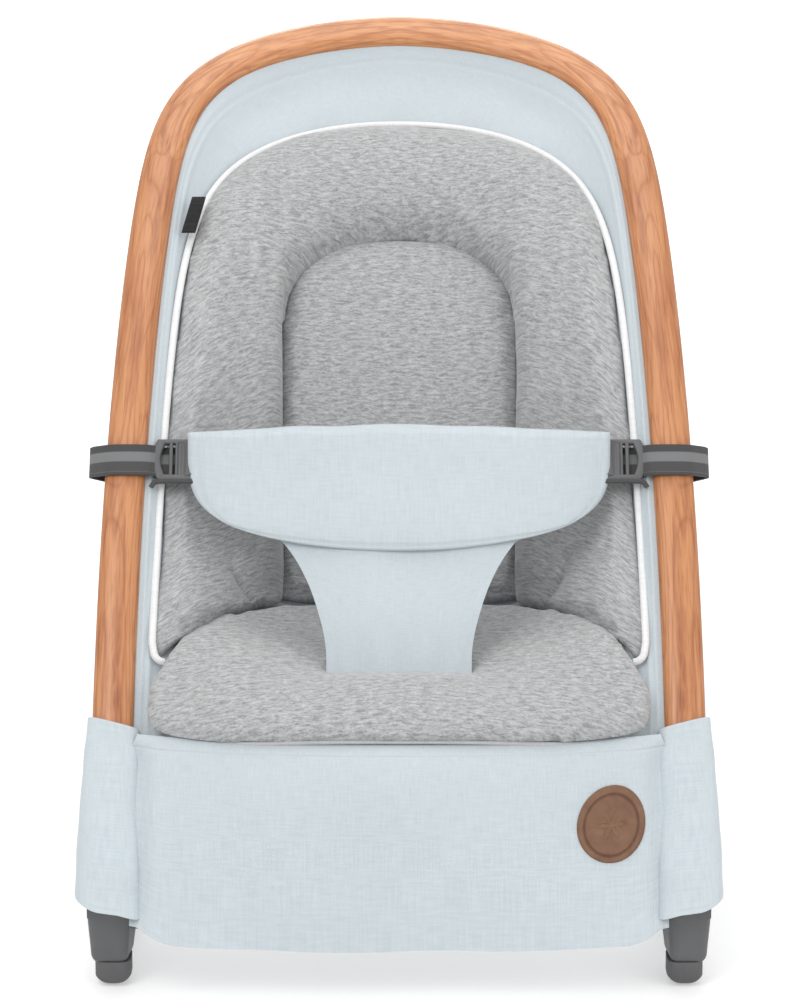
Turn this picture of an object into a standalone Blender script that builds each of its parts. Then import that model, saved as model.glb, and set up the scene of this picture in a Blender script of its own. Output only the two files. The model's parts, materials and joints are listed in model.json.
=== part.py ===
"""Baby bouncer seat: a reclining fabric seat in an oval-tube hoop on a folding floor base.

Metres, +Z up, the seat faces -Y, and the origin is on the floor under the middle of the seat.
Soft pieces and the hoop are drawn flat, as (across, along the hoop, behind the hoop), and then
bent onto the hoop's side profile.
"""

import math

import bmesh
import bpy
from mathutils import Matrix, Vector

GAP = 0.0004
PAD_GAP = 0.0050

# Hoop: an oval tube that leans back in one long shallow arc from its pivots.
PIVOT_Y = -0.28
PIVOT_Z = 0.07
FOOT_SLOPE = math.radians(58)
TOP_SLOPE = math.radians(34)
HOOP_LENGTH = 0.75
HOOP_RADIUS = HOOP_LENGTH / (FOOT_SLOPE - TOP_SLOPE)
HOOP_HALF_WIDTH = 0.2078
HOOP_TAPER = 0.075
HOOP_TAPER_POWER = 2.5
ARCH_POWER = 18
ARCH_ROUNDNESS = 1.7
TUBE_WIDTH = 0.030
TUBE_DEPTH = 0.016
HOOP_START = 0.032

# Front legs, pivots and the floor base.
LEG_X = 0.2065
LEG_WIDTH = 0.032
LEG_DEPTH = 0.036
LEG_BOTTOM = 0.0145
FOOT_HEIGHT = 0.0141
PIN_RADIUS = 0.004
EYE_RADIUS = 0.013
EYE_WIDTH = 0.012
RAIL_RADIUS = 0.009
RAIL_Z = 0.020
RAIL_REAR_Y = 0.312
RAIL_CORNER = 0.06
CROSS_Z = 0.044
CROSS_BEHIND = 0.008
CROSS_RADIUS = 0.008

# Prop strut and its sliding cross tube.
STRUT_ALONG = 0.29
STRUT_BEHIND = 0.024
STRUT_RADIUS = 0.006
STRUT_FOOT_GAP = 0.0130
CROSS_Y = 0.08
SLIDE_Z = 0.050
SLIDE_RADIUS = 0.007
RACK_TOP = 0.0395

# Seat: depth of the sling behind the hoop along its middle, as (along, behind) points.
SLING_DEPTH = [(0.06, -0.075), (0.085, -0.052), (0.125, -0.020), (0.163, 0.022), (0.215, 0.088),
               (0.265, 0.122), (0.34, 0.116), (0.45, 0.090), (0.55, 0.064), (0.65, 0.034), (0.76, 0.004)]
SLING_THICK = 0.0025
SLING_FRONT = 0.088
SLING_INSET = 0.0198
SLING_FRONT_HALF = 0.183
PAD_TOP = 0.665
PAD_INSET = 0.0265
PAD_POWER = 9
PAD_ROUNDNESS = 2.2
PAD_SHOULDER = 0.56
SIDE_SHARE = 0.72
PAD_TIP = 0.175
PAD_HALF_WIDTH = 0.182
BOLSTER_LIFT = 0.034
PANEL_HALF_WIDTH = 0.0875
PANEL_TOP = 0.565
PANEL_SHOULDER = 0.51
PANEL_FOOT = 0.275
PANEL_THICK = 0.012
SEAT_REAR = 0.255
SEAT_FRONT = 0.092
SEAT_THICK = 0.020
SEAT_HALF_WIDTH = 0.174

# Restraint: the flap that rises between the legs, in the seat's middle plane as (y, z) points.
SLOT_Y = -0.196
SLOT_Z = 0.210
FLAP_SIDE = [(-0.1865, 0.2115), (-0.172, 0.240), (-0.150, 0.275), (-0.122, 0.325), (-0.103, 0.366)]
FLAP_HALF_WIDTH = 0.155
CROTCH_HALF_WIDTH = 0.052
FLAP_THICK = 0.008

FRONT_ROD_ALONG = 0.110
FRONT_ROD_HALF = 0.178

# Front skirt, hung from the seat's front edge.
SKIRT_TOP_Z = 0.160
SKIRT_HEM_Z = 0.043
SKIRT_HALF_WIDTH = 0.176
BADGE_X = 0.151
BADGE_Z = 0.118
BADGE_WIDTH = 0.0495
BADGE_HEIGHT = 0.055

# Straps and buckles on the hoop's sides.
STRAP_ALONG = 0.331
STRAP_WIDTH = 0.025

model = bpy.data.collections.new("bouncer_seat")
cutters = bpy.data.collections.new("cutters")


def clear_scene():
    for obj in list(bpy.data.objects):
        bpy.data.objects.remove(obj, do_unlink=True)
    bpy.context.scene.collection.children.link(model)
    bpy.context.scene.collection.children.link(cutters)


def make_material(name, colour, roughness, metallic=0.0):
    material = bpy.data.materials.new(name)
    material.use_nodes = True
    shader = material.node_tree.nodes["Principled BSDF"]
    shader.inputs["Base Color"].default_value = (*colour, 1.0)
    shader.inputs["Roughness"].default_value = roughness
    shader.inputs["Metallic"].default_value = metallic
    return material


def hoop_profile(along):
    """Side profile: the point (y, z) and the slope at a length along the hoop from its pivot."""
    slope = FOOT_SLOPE - along / HOOP_RADIUS
    y = PIVOT_Y + HOOP_RADIUS * (math.sin(FOOT_SLOPE) - math.sin(slope))
    z = PIVOT_Z + HOOP_RADIUS * (math.cos(slope) - math.cos(FOOT_SLOPE))
    return y, z, slope


def place(across, along, behind):
    """Bend a flat point onto the hoop's side profile."""
    y, z, slope = hoop_profile(along)
    return Vector((across, y + behind * math.sin(slope), z - behind * math.cos(slope)))


def taper_width(along):
    return HOOP_HALF_WIDTH - HOOP_TAPER * max(along, 0.0) ** HOOP_TAPER_POWER


def arch_width(along, inset=0.0, power=ARCH_POWER):
    """Half width of the hoop's middle line, or of a line set in from it."""
    rise = min(max(along, 0.0) / (HOOP_LENGTH - inset), 1.0)
    return (taper_width(along) - inset) * (1.0 - rise ** power) ** (1.0 / ARCH_ROUNDNESS)


def arch_height(across, inset, top, power, roundness):
    """How far along the hoop an arched outline lies at a distance from the middle plane."""
    low, high = 0.5 * top, top
    for _ in range(40):
        along = (low + high) / 2
        width = (taper_width(along) - inset) * (1.0 - (along / top) ** power) ** (1.0 / roundness)
        if width > across:
            low = along
        else:
            high = along
    return (low + high) / 2


def smooth_value(points, x):
    """Catmull-Rom value through (x, y) points."""
    if x <= points[0][0]:
        return points[0][1]
    if x >= points[-1][0]:
        return points[-1][1]
    i = max(k for k in range(len(points) - 1) if points[k][0] <= x)
    p = [points[max(i - 1, 0)], points[i], points[i + 1], points[min(i + 2, len(points) - 1)]]
    t = (x - p[1][0]) / (p[2][0] - p[1][0])
    span = p[2][0] - p[1][0]
    m1 = (p[2][1] - p[0][1]) / (p[2][0] - p[0][0]) * span
    m2 = (p[3][1] - p[1][1]) / (p[3][0] - p[1][0]) * span
    return ((2 * t ** 3 - 3 * t ** 2 + 1) * p[1][1] + (t ** 3 - 2 * t ** 2 + t) * m1
            + (3 * t ** 2 - 2 * t ** 3) * p[2][1] + (t ** 3 - t ** 2) * m2)


def sling_depth(across, along):
    """How far the sling hangs behind the hoop's middle plane."""
    ratio = min(abs(across) / (taper_width(along) - SLING_INSET), 1.0)
    return smooth_value(SLING_DEPTH, along) * (1.0 - ratio ** 3)


def add_object(name, mesh, material):
    obj = bpy.data.objects.new(name, mesh)
    model.objects.link(obj)
    mesh.materials.clear()
    mesh.materials.append(material)
    return obj


def finish_bmesh(bm, name, material, smooth=True):
    bmesh.ops.recalc_face_normals(bm, faces=bm.faces)
    if bm.calc_volume(signed=True) < 0:
        bmesh.ops.reverse_faces(bm, faces=bm.faces)
    mesh = bpy.data.meshes.new(name)
    bm.to_mesh(mesh)
    bm.free()
    if smooth:
        mesh.shade_smooth()
        mesh.set_sharp_from_angle(angle=math.radians(40))
    return add_object(name, mesh, material)


def slab(name, material, columns, rows, shape):
    """A two-sided sheet: shape(u, v, side) gives the point for u, v in 0..1 and side 0 or 1."""
    bm = bmesh.new()
    bmesh.ops.create_grid(bm, x_segments=columns, y_segments=rows, size=0.5)
    skin = bmesh.ops.extrude_face_region(bm, geom=bm.faces[:], use_keep_orig=True)
    raised = [v for v in skin["geom"] if isinstance(v, bmesh.types.BMVert)]
    bmesh.ops.translate(bm, verts=raised, vec=(0, 0, 1))
    for vert in bm.verts:
        vert.co = shape(vert.co.x + 0.5, vert.co.y + 0.5, vert.co.z)
    return finish_bmesh(bm, name, material)


def rod(name, material, points, radius, resolution=4):
    """A round tube through points, closed at both ends, as a mesh."""
    curve = bpy.data.curves.new(name, "CURVE")
    curve.dimensions = "3D"
    curve.bevel_depth = radius
    curve.bevel_resolution = resolution
    curve.use_fill_caps = True
    spline = curve.splines.new("POLY")
    spline.points.add(len(points) - 1)
    for point, co in zip(spline.points, points):
        point.co = (*co, 1.0)
    guide = bpy.data.objects.new(name + "_guide", curve)
    cutters.objects.link(guide)
    bpy.context.view_layer.update()
    evaluated = guide.evaluated_get(bpy.context.evaluated_depsgraph_get())
    mesh = bpy.data.meshes.new_from_object(evaluated)
    bpy.data.objects.remove(guide, do_unlink=True)
    bm = bmesh.new()
    bm.from_mesh(mesh)
    bpy.data.meshes.remove(mesh)
    bmesh.ops.remove_doubles(bm, verts=bm.verts, dist=0.00002)
    return finish_bmesh(bm, name, material)


def box(name, material, low, high, bevel=0.0):
    bm = bmesh.new()
    bmesh.ops.create_cube(bm, size=1.0)
    low, high = Vector(low), Vector(high)
    for vert in bm.verts:
        vert.co = (low + high) / 2 + Vector(a * b for a, b in zip(vert.co, high - low))
    if bevel:
        bmesh.ops.bevel(bm, geom=bm.edges[:], offset=bevel, segments=1, affect="EDGES", profile=0.5)
    return finish_bmesh(bm, name, material)


def cylinder(name, material, x0, x1, y, z, radius, segments=20):
    """A round bar across the seat, with its origin on its own axis."""
    bm = bmesh.new()
    bmesh.ops.create_cone(bm, cap_ends=True, segments=segments, radius1=radius, radius2=radius, depth=x1 - x0)
    bmesh.ops.rotate(bm, verts=bm.verts, matrix=Matrix.Rotation(math.pi / 2, 3, "Y"))
    obj = finish_bmesh(bm, name, material)
    obj.location = ((x0 + x1) / 2, y, z)
    return obj


def boolean(target, tool, operation):
    """Cut the target with a tool, or join a tool to it; the tool stays as a guide."""
    model.objects.unlink(tool)
    cutters.objects.link(tool)
    tool.hide_render = True
    tool.display_type = "WIRE"
    modifier = target.modifiers.new(tool.name, "BOOLEAN")
    modifier.operation = operation
    modifier.solver = "EXACT"
    modifier.object = tool


def sleeve(name, material, across, start, end, inner, wall, segments=20):
    """An open-ended sleeve round the hoop tube, whose hollow is inner (half width, half depth)."""
    bm = bmesh.new()
    bmesh.ops.create_cone(bm, cap_ends=False, segments=segments, radius1=1.0, radius2=1.0, depth=end - start)
    for vert in bm.verts:
        vert.co = (across + vert.co.x * inner[0], (start + end) / 2 + vert.co.z, vert.co.y * inner[1])
    bmesh.ops.recalc_face_normals(bm, faces=bm.faces)
    outward = sum(f.normal.x * (f.calc_center_median().x - across) for f in bm.faces) > 0
    bmesh.ops.solidify(bm, geom=bm.faces[:], thickness=-wall if outward else wall)
    for vert in bm.verts:
        vert.co = place(*vert.co)
    return finish_bmesh(bm, name, material)


def sides(build):
    """Build a piece on the left (-1) and the right (+1)."""
    return {side: build(side, label) for side, label in ((-1, "left"), (1, "right"))}


def span(side, near, far):
    """Low and high x of a piece between two distances from the middle plane."""
    return (side * far, side * near) if side < 0 else (near, far)


def bend(obj):
    """Bend a piece drawn flat onto the hoop's profile, which mirrors it, so its faces are turned back."""
    for vert in obj.data.vertices:
        vert.co = place(*vert.co)
    obj.data.flip_normals()
    return obj


def make_hoop(wood):
    points = []
    steps = 18
    arch_start = 0.62
    for k in range(steps + 1):
        along = HOOP_START + (arch_start - HOOP_START) * k / steps
        points.append((arch_width(along), along, 0.0))
    arch_steps = 22
    widest = points[-1][0]
    for k in range(1, arch_steps + 1):
        across = widest * math.cos(math.pi / 2 * k / arch_steps)
        points.append((across, arch_height(across, 0.0, HOOP_LENGTH, ARCH_POWER, ARCH_ROUNDNESS), 0.0))
    outline = [(-x, s, n) for x, s, n in points] + [(x, s, n) for x, s, n in reversed(points[:-1])]
    hoop = rod("hoop", wood, outline, TUBE_WIDTH / 2, resolution=3)
    for vert in hoop.data.vertices:
        vert.co.z *= TUBE_DEPTH / TUBE_WIDTH
    return bend(hoop)


def make_sling(fabric):
    """The thin fabric bowl that fills the hoop, from the seat's front edge to the top."""
    rear = HOOP_LENGTH - SLING_INSET - 0.002

    def shape(u, v, side):
        along = SLING_FRONT + (rear - SLING_FRONT) * (1 - (1 - v) ** 1.6)
        widest = SLING_FRONT_HALF + 0.7 * max(along - 0.127, 0.0)
        half = min(max(arch_width(along, SLING_INSET, 15), 0.03), widest)
        across = (2 * u - 1) * half
        return place(across, along, sling_depth(across, along) + side * SLING_THICK)

    return slab("sling", fabric, 18, 26, shape)


def pad_outline(along):
    """Half width of the pad's outer edge."""
    rise = min(along / PAD_TOP, 1.0)
    return (taper_width(along) - PAD_INSET) * (1.0 - rise ** PAD_POWER) ** (1.0 / PAD_ROUNDNESS)


def outer_edge(t):
    """Point on the pad's outer edge, from the left tip (0) over the top (0.5) to the right tip (1)."""
    side = -1 if t < 0.5 else 1
    reach = 1 - abs(2 * t - 1)
    if reach < SIDE_SHARE:
        along = PAD_TIP + (PAD_SHOULDER - PAD_TIP) * reach / SIDE_SHARE
        return side * pad_outline(along), along
    corner = (reach - SIDE_SHARE) / (1 - SIDE_SHARE)
    across = pad_outline(PAD_SHOULDER) * math.cos(math.pi / 2 * corner)
    return side * across, arch_height(across, PAD_INSET, PAD_TOP, PAD_POWER, PAD_ROUNDNESS)


def inner_edge(t):
    """Point on the bolster's inner edge, beside and above the back panel."""
    side = -1 if t < 0.5 else 1
    reach = 1 - abs(2 * t - 1)
    half = PANEL_HALF_WIDTH + 0.001
    top = PANEL_TOP + 0.001
    foot = PANEL_FOOT - 0.012
    corner_start = PANEL_SHOULDER
    if reach < SIDE_SHARE:
        along = foot + (corner_start - foot) * reach / SIDE_SHARE
        return side * half, along
    corner = (reach - SIDE_SHARE) / (1 - SIDE_SHARE) * math.pi / 2
    power = 2 / 3.0
    across = half * max(math.cos(corner), 0.0) ** power
    along = corner_start + (top - corner_start) * math.sin(corner) ** power
    return side * across, along


def make_bolster(jersey):
    def shape(u, v, side):
        outer, inner = outer_edge(u), inner_edge(u)
        across = outer[0] + (inner[0] - outer[0]) * v
        along = outer[1] + (inner[1] - outer[1]) * v
        crown = math.sqrt(max(1 - (2 * v - 1) ** 2, 0.0))
        tip = min(min(u, 1 - u) / 0.04, 1.0)
        thick = 0.004 + (BOLSTER_LIFT - 0.004) * crown * (0.5 + 0.5 * tip)
        return place(across, along, sling_depth(across, along) - PAD_GAP - side * thick)

    return slab("bolster_pad", jersey, 34, 6, shape)


def make_back_pad(jersey):
    def shape(u, v, side):
        along = PANEL_FOOT + (PANEL_TOP - 0.002 - PANEL_FOOT) * v
        half = PANEL_HALF_WIDTH
        if along > PANEL_SHOULDER:
            half *= (1 - ((along - PANEL_SHOULDER) / (PANEL_TOP - PANEL_SHOULDER)) ** 3) ** (1 / 3)
        across = (2 * u - 1) * max(half, 0.01)
        return place(across, along, sling_depth(across, along) - PAD_GAP - side * PANEL_THICK)

    return slab("back_pad", jersey, 6, 10, shape)


def make_seat_pad(jersey):
    def shape(u, v, side):
        across = (2 * u - 1) * SEAT_HALF_WIDTH
        rear = min(SEAT_REAR, PAD_TIP - 0.008 + 0.96 * (0.18 - abs(across)))
        along = SEAT_FRONT + (rear - SEAT_FRONT) * v
        crown = math.sqrt(max(1 - (2 * u - 1) ** 2, 0.0)) * math.sqrt(max(1 - (2 * v - 1) ** 4, 0.0))
        thick = 0.003 + (SEAT_THICK - 0.003) * crown
        return place(across, along, sling_depth(across, along) - PAD_GAP - side * thick)

    return slab("seat_pad", jersey, 14, 8, shape)


def skirt_point(across, drop, proud):
    """Point on the front skirt: drop runs 0..1 from the seat's front edge to the hem."""
    bow = 1 - (across / 0.19) ** 2
    y = -0.247 - 0.040 * drop - bow * (0.046 - 0.012 * drop) - 0.010 * math.sin(math.pi * drop) - proud
    z = SKIRT_TOP_Z + (SKIRT_HEM_Z - SKIRT_TOP_Z) * drop
    return Vector((across, y, z))


def make_skirt(fabric):
    def shape(u, v, side):
        return skirt_point((2 * u - 1) * SKIRT_HALF_WIDTH, v, side * SLING_THICK)

    return slab("front_skirt", fabric, 14, 6, shape)


def make_badge(leather):
    def shape(u, v, side):
        a, b = 2 * u - 1, 2 * v - 1
        across = BADGE_X + BADGE_WIDTH / 2 * a * math.sqrt(1 - b * b / 2)
        z = BADGE_Z + BADGE_HEIGHT / 2 * b * math.sqrt(1 - a * a / 2)
        drop = (SKIRT_TOP_Z - z) / (SKIRT_TOP_Z - SKIRT_HEM_Z)
        return skirt_point(across, drop, SLING_THICK + GAP + 0.002 * side)

    return slab("leather_badge", leather, 6, 6, shape)


def make_label(fabric):
    def shape(u, v, side):
        across = -0.163 + 0.006 * (u - 0.5)
        along = 0.545 + 0.028 * (v - 0.5)
        return place(across, along, -0.003 - 0.001 * side)

    return slab("side_label", fabric, 2, 4, shape)


def make_restraint(fabric):
    """The upright panel: a narrow strip between the legs that widens to the belly flap."""
    foot, top = FLAP_SIDE[0][1], FLAP_SIDE[-1][1]
    side_points = [(z, y) for y, z in FLAP_SIDE]

    def shape(u, v, side):
        z = foot + (top - foot) * v
        widen = min(max((z - 0.268) / 0.022, 0.0), 1.0)
        half = CROTCH_HALF_WIDTH + (FLAP_HALF_WIDTH - CROTCH_HALF_WIDTH) * widen ** 0.7
        if z > 0.33:
            half -= 0.006 * ((z - 0.33) / (top - 0.33))
        across = (2 * u - 1) * half
        y = smooth_value(side_points, z) + 0.034 * (across / FLAP_HALF_WIDTH) ** 2
        edge = math.sqrt(max(1 - (2 * v - 1) ** 6, 0.0)) * math.sqrt(max(1 - (2 * u - 1) ** 6, 0.0))
        thick = 0.0025 + (FLAP_THICK - 0.0025) * edge
        return Vector((across, y - side * thick, z - 0.012 * (across / FLAP_HALF_WIDTH) ** 2 * v))

    return slab("restraint_panel", fabric, 14, 14, shape)


def make_strap(side, label, webbing):
    centre = side * arch_width(STRAP_ALONG)
    inner = (TUBE_WIDTH / 2 + 0.0012, TUBE_DEPTH / 2 + 0.0012)
    start, end = STRAP_ALONG - STRAP_WIDTH / 2, STRAP_ALONG + STRAP_WIDTH / 2
    return sleeve(f"strap_{label}", webbing, centre, start, end, inner, 0.0018)


def make_boot(side, label, fabric):
    centre = side * arch_width(0.07)
    inner = (TUBE_WIDTH / 2 + 0.0018, TUBE_DEPTH / 2 + 0.004)
    return sleeve(f"boot_{label}", fabric, centre, 0.0215, 0.118, inner, 0.0058)


def bent_box(name, material, low, high):
    """A block in the hoop's own flat space, bent onto its profile."""
    return bend(box(name, material, low, high, bevel=0.0012))


def make_buckle_frame(side, label, plastic):
    """The ladder-lock half that the webbing holds: a frame with one window."""
    x0, x1 = span(side, 0.1685, 0.1865)
    frame = bent_box(f"buckle_frame_{label}", plastic, (x0, 0.312, -0.010), (x1, 0.350, -0.004))
    w0, w1 = span(side, 0.1745, 0.1815)
    window = bent_box(f"buckle_window_{label}", plastic, (w0, 0.319, -0.014), (w1, 0.343, 0.001))
    boolean(frame, window, "DIFFERENCE")
    return frame


def make_buckle_tongue(side, label, plastic):
    """The half sewn to the belly flap."""
    x0, x1 = span(side, 0.1575, 0.1675)
    return bent_box(f"buckle_tongue_{label}", plastic, (x0, 0.316, -0.010), (x1, 0.346, -0.004))


def make_leg(side, label, plastic):
    """A front leg: an upright block with a round head, slotted for the hoop's eye."""
    x0, x1 = span(side, LEG_X - LEG_WIDTH / 2, LEG_X + LEG_WIDTH / 2)
    leg = box(f"front_leg_{label}", plastic, (x0, PIVOT_Y - LEG_DEPTH / 2, LEG_BOTTOM),
              (x1, PIVOT_Y + LEG_DEPTH / 2, PIVOT_Z), bevel=0.005)
    head = cylinder(f"leg_head_{label}", plastic, x0, x1, PIVOT_Y, PIVOT_Z, LEG_DEPTH / 2)
    boolean(leg, head, "UNION")
    slot_half = EYE_WIDTH / 2 + 0.0004
    slot = box(f"leg_slot_{label}", plastic, (side * LEG_X - slot_half, PIVOT_Y - 0.03, PIVOT_Z - 0.0155),
               (side * LEG_X + slot_half, PIVOT_Y + 0.03, PIVOT_Z + 0.03))
    boolean(leg, slot, "DIFFERENCE")
    bore = cylinder(f"leg_bore_{label}", plastic, x0 - 0.01, x1 + 0.01, PIVOT_Y, PIVOT_Z, PIN_RADIUS + 0.0001)
    boolean(leg, bore, "DIFFERENCE")
    return leg


def make_end_fitting(side, label, plastic):
    """The hoop's end: an eye on the pivot pin, with a neck up to the tube."""
    low, high = side * LEG_X - EYE_WIDTH / 2, side * LEG_X + EYE_WIDTH / 2
    eye = cylinder(f"end_fitting_{label}", plastic, low, high, PIVOT_Y, PIVOT_Z, EYE_RADIUS)
    eye.location = (0, 0, 0)
    for vert in eye.data.vertices:
        vert.co += Vector((side * LEG_X, PIVOT_Y, PIVOT_Z))
    neck = bent_box(f"fitting_neck_{label}", plastic, (low, 0.004, -0.0065), (high, HOOP_START - GAP, 0.0065))
    boolean(eye, neck, "UNION")
    bore = cylinder(f"eye_bore_{label}", plastic, low - 0.01, high + 0.01, PIVOT_Y, PIVOT_Z, PIN_RADIUS + 0.0001)
    boolean(eye, bore, "DIFFERENCE")
    return eye


def make_base(steel, plastic, rubber):
    parts = []
    rail_front = PIVOT_Y + LEG_DEPTH / 2 + GAP
    corner = [(LEG_X - RAIL_CORNER * (1 - math.cos(a)), RAIL_REAR_Y - RAIL_CORNER * (1 - math.sin(a)), RAIL_Z)
              for a in (math.pi / 2 * k / 8 for k in range(9))]
    right = [(LEG_X, rail_front, RAIL_Z)] + corner
    left = [(-x, y, z) for x, y, z in reversed(right)]
    parts.append(rod("base_tube", steel, right + left, RAIL_RADIUS))
    inner = LEG_X - LEG_WIDTH / 2 - GAP
    parts.append(cylinder("front_cross_tube", steel, -inner, inner, PIVOT_Y + CROSS_BEHIND, CROSS_Z,
                          CROSS_RADIUS))

    def front_foot(side, label):
        x0, x1 = span(side, LEG_X - 0.013, LEG_X + 0.013)
        return box(f"front_foot_{label}", rubber, (x0, PIVOT_Y - 0.016, 0.0),
                   (x1, PIVOT_Y + 0.016, FOOT_HEIGHT), bevel=0.002)

    def rear_foot(side, label):
        x0, x1 = span(side, 0.100, 0.135)
        foot = box(f"rear_foot_{label}", rubber, (x0, RAIL_REAR_Y - 0.014, 0.0),
                   (x1, RAIL_REAR_Y + 0.012, 0.020), bevel=0.002)
        groove = cylinder(f"foot_groove_{label}", rubber, x0 - 0.01, x1 + 0.01, RAIL_REAR_Y, RAIL_Z,
                          RAIL_RADIUS + 0.0004)
        boolean(foot, groove, "DIFFERENCE")
        return foot

    def rack(side, label):
        """The notched strip inside the rail that the strut's cross tube rides on."""
        x0, x1 = span(side, 0.183, LEG_X - RAIL_RADIUS - GAP)
        strip = box(f"recline_rack_{label}", plastic, (x0, CROSS_Y - 0.03, 0.012), (x1, 0.240, RACK_TOP),
                    bevel=0.0015)
        for k in range(3):
            notch = cylinder(f"rack_notch_{label}_{k}", plastic, x0 - 0.01, x1 + 0.01,
                             CROSS_Y + 0.05 * k, SLIDE_Z, SLIDE_RADIUS + 0.0035)
            boolean(strip, notch, "DIFFERENCE")
        return strip

    def pin(side, label):
        x0, x1 = span(side, LEG_X - LEG_WIDTH / 2 + 0.0005, LEG_X + LEG_WIDTH / 2 - 0.0005)
        return cylinder(f"pivot_pin_{label}", steel, x0, x1, PIVOT_Y, PIVOT_Z, PIN_RADIUS)

    for build in (lambda s, n: make_leg(s, n, plastic), front_foot, rear_foot, rack, pin):
        parts.extend(sides(build).values())
    return parts


def strut_pivot():
    return place(0.0, STRUT_ALONG, STRUT_BEHIND)


def make_strut(steel, plastic):
    top = strut_pivot()
    foot = Vector((0.0, CROSS_Y, SLIDE_Z))
    along = (foot - top).normalized()
    leg_x = arch_width(STRUT_ALONG)
    parts = [cylinder("strut_cross_tube", steel, -leg_x + 0.008, leg_x - 0.008, CROSS_Y, SLIDE_Z, SLIDE_RADIUS)]

    def leg(side, label):
        a, b = top + along * 0.0125, foot - along * STRUT_FOOT_GAP
        line = [(side * leg_x, a.y, a.z), (side * leg_x, b.y, b.z)]
        return rod(f"strut_leg_{label}", steel, line, STRUT_RADIUS)

    def end(side, label):
        return box(f"strut_end_{label}", plastic, (side * leg_x - 0.0068, CROSS_Y - 0.012, SLIDE_Z - 0.0115),
                   (side * leg_x + 0.0068, CROSS_Y + 0.012, SLIDE_Z + 0.0065), bevel=0.002)

    def knuckle(side, label):
        eye = cylinder(f"strut_knuckle_{label}", plastic, side * leg_x - 0.006, side * leg_x + 0.006,
                       top.y, top.z, 0.0115)
        bore = cylinder(f"knuckle_bore_{label}", plastic, side * leg_x - 0.02, side * leg_x + 0.02,
                        top.y, top.z, PIN_RADIUS + 0.0001)
        boolean(eye, bore, "DIFFERENCE")
        return eye

    for build in (leg, end, knuckle):
        parts.extend(sides(build).values())
    return parts


def make_strut_bracket(side, label, plastic):
    """A clevis clamped behind the hoop, which holds the strut's knuckle."""
    centre = side * arch_width(STRUT_ALONG)
    start, end = STRUT_ALONG - 0.016, STRUT_ALONG + 0.016
    bracket = bent_box(f"strut_bracket_{label}", plastic, (centre - 0.012, start, TUBE_DEPTH / 2 + GAP),
                       (centre + 0.012, end, STRUT_BEHIND + 0.009))
    pivot = strut_pivot()
    slot = cylinder(f"bracket_slot_{label}", plastic, centre - 0.0064, centre + 0.0064, pivot.y, pivot.z, 0.0122)
    boolean(bracket, slot, "DIFFERENCE")
    channel = bent_box(f"bracket_channel_{label}", plastic, (centre - 0.0064, start - 0.01, STRUT_BEHIND - 0.007),
                       (centre + 0.0064, end + 0.01, STRUT_BEHIND + 0.03))
    boolean(bracket, channel, "DIFFERENCE")
    bore = cylinder(f"bracket_bore_{label}", plastic, centre - 0.02, centre + 0.02, pivot.y, pivot.z,
                    PIN_RADIUS + 0.0001)
    boolean(bracket, bore, "DIFFERENCE")
    return bracket


def make_strut_pin(side, label, steel):
    centre = side * arch_width(STRUT_ALONG)
    pivot = strut_pivot()
    return cylinder(f"strut_pin_{label}", steel, centre - 0.0115, centre + 0.0115, pivot.y, pivot.z, PIN_RADIUS)


def make_lever(plastic, steel):
    """The recline handle: a ring on the strut's cross tube with a paddle behind it, and its spring."""
    lever = cylinder("recline_lever", plastic, -0.045, 0.045, 0.0, 0.0, 0.0115)
    lever.location = (0, 0, 0)
    paddle = box("lever_paddle", plastic, (-0.045, 0.006, -0.004), (0.045, 0.048, 0.004), bevel=0.002)
    boolean(lever, paddle, "UNION")
    bore = cylinder("lever_bore", plastic, -0.06, 0.06, 0.0, 0.0, SLIDE_RADIUS + 0.0002)
    bore.location = (0, 0, 0)
    boolean(lever, bore, "DIFFERENCE")
    for piece in (lever, paddle, bore):
        for vert in piece.data.vertices:
            vert.co += Vector((0.0, CROSS_Y, SLIDE_Z))
    turns, per_turn, pitch = 4, 10, 0.0024
    coil_radius = SLIDE_RADIUS + 0.0018
    coil = []
    for k in range(turns * per_turn + 1):
        angle = 2 * math.pi * k / per_turn
        coil.append((0.048 + pitch * k / per_turn, CROSS_Y + coil_radius * math.cos(angle),
                     SLIDE_Z + coil_radius * math.sin(angle)))
    spring = rod("lever_spring", steel, coil, 0.0007, resolution=0)
    return [lever, spring]


def make_front_rod(steel):
    """The bowed rod sewn in behind the seat's front edge."""
    steps = 14
    points = []
    for k in range(steps + 1):
        across = FRONT_ROD_HALF * (2 * k / steps - 1)
        points.append(place(across, FRONT_ROD_ALONG, sling_depth(across, FRONT_ROD_ALONG) + 0.0095))
    return rod("seat_front_rod", steel, points, 0.0035, resolution=2)


def add_axis(name, location, children):
    """Hang a moving group on an empty that sits on its joint's axis."""
    axis = bpy.data.objects.new(name, None)
    axis.location = location
    axis.rotation_euler = (0, math.pi / 2, 0)
    model.objects.link(axis)
    bpy.context.view_layer.update()
    for child in children:
        child.parent = axis
        child.matrix_parent_inverse = axis.matrix_world.inverted()


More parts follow.
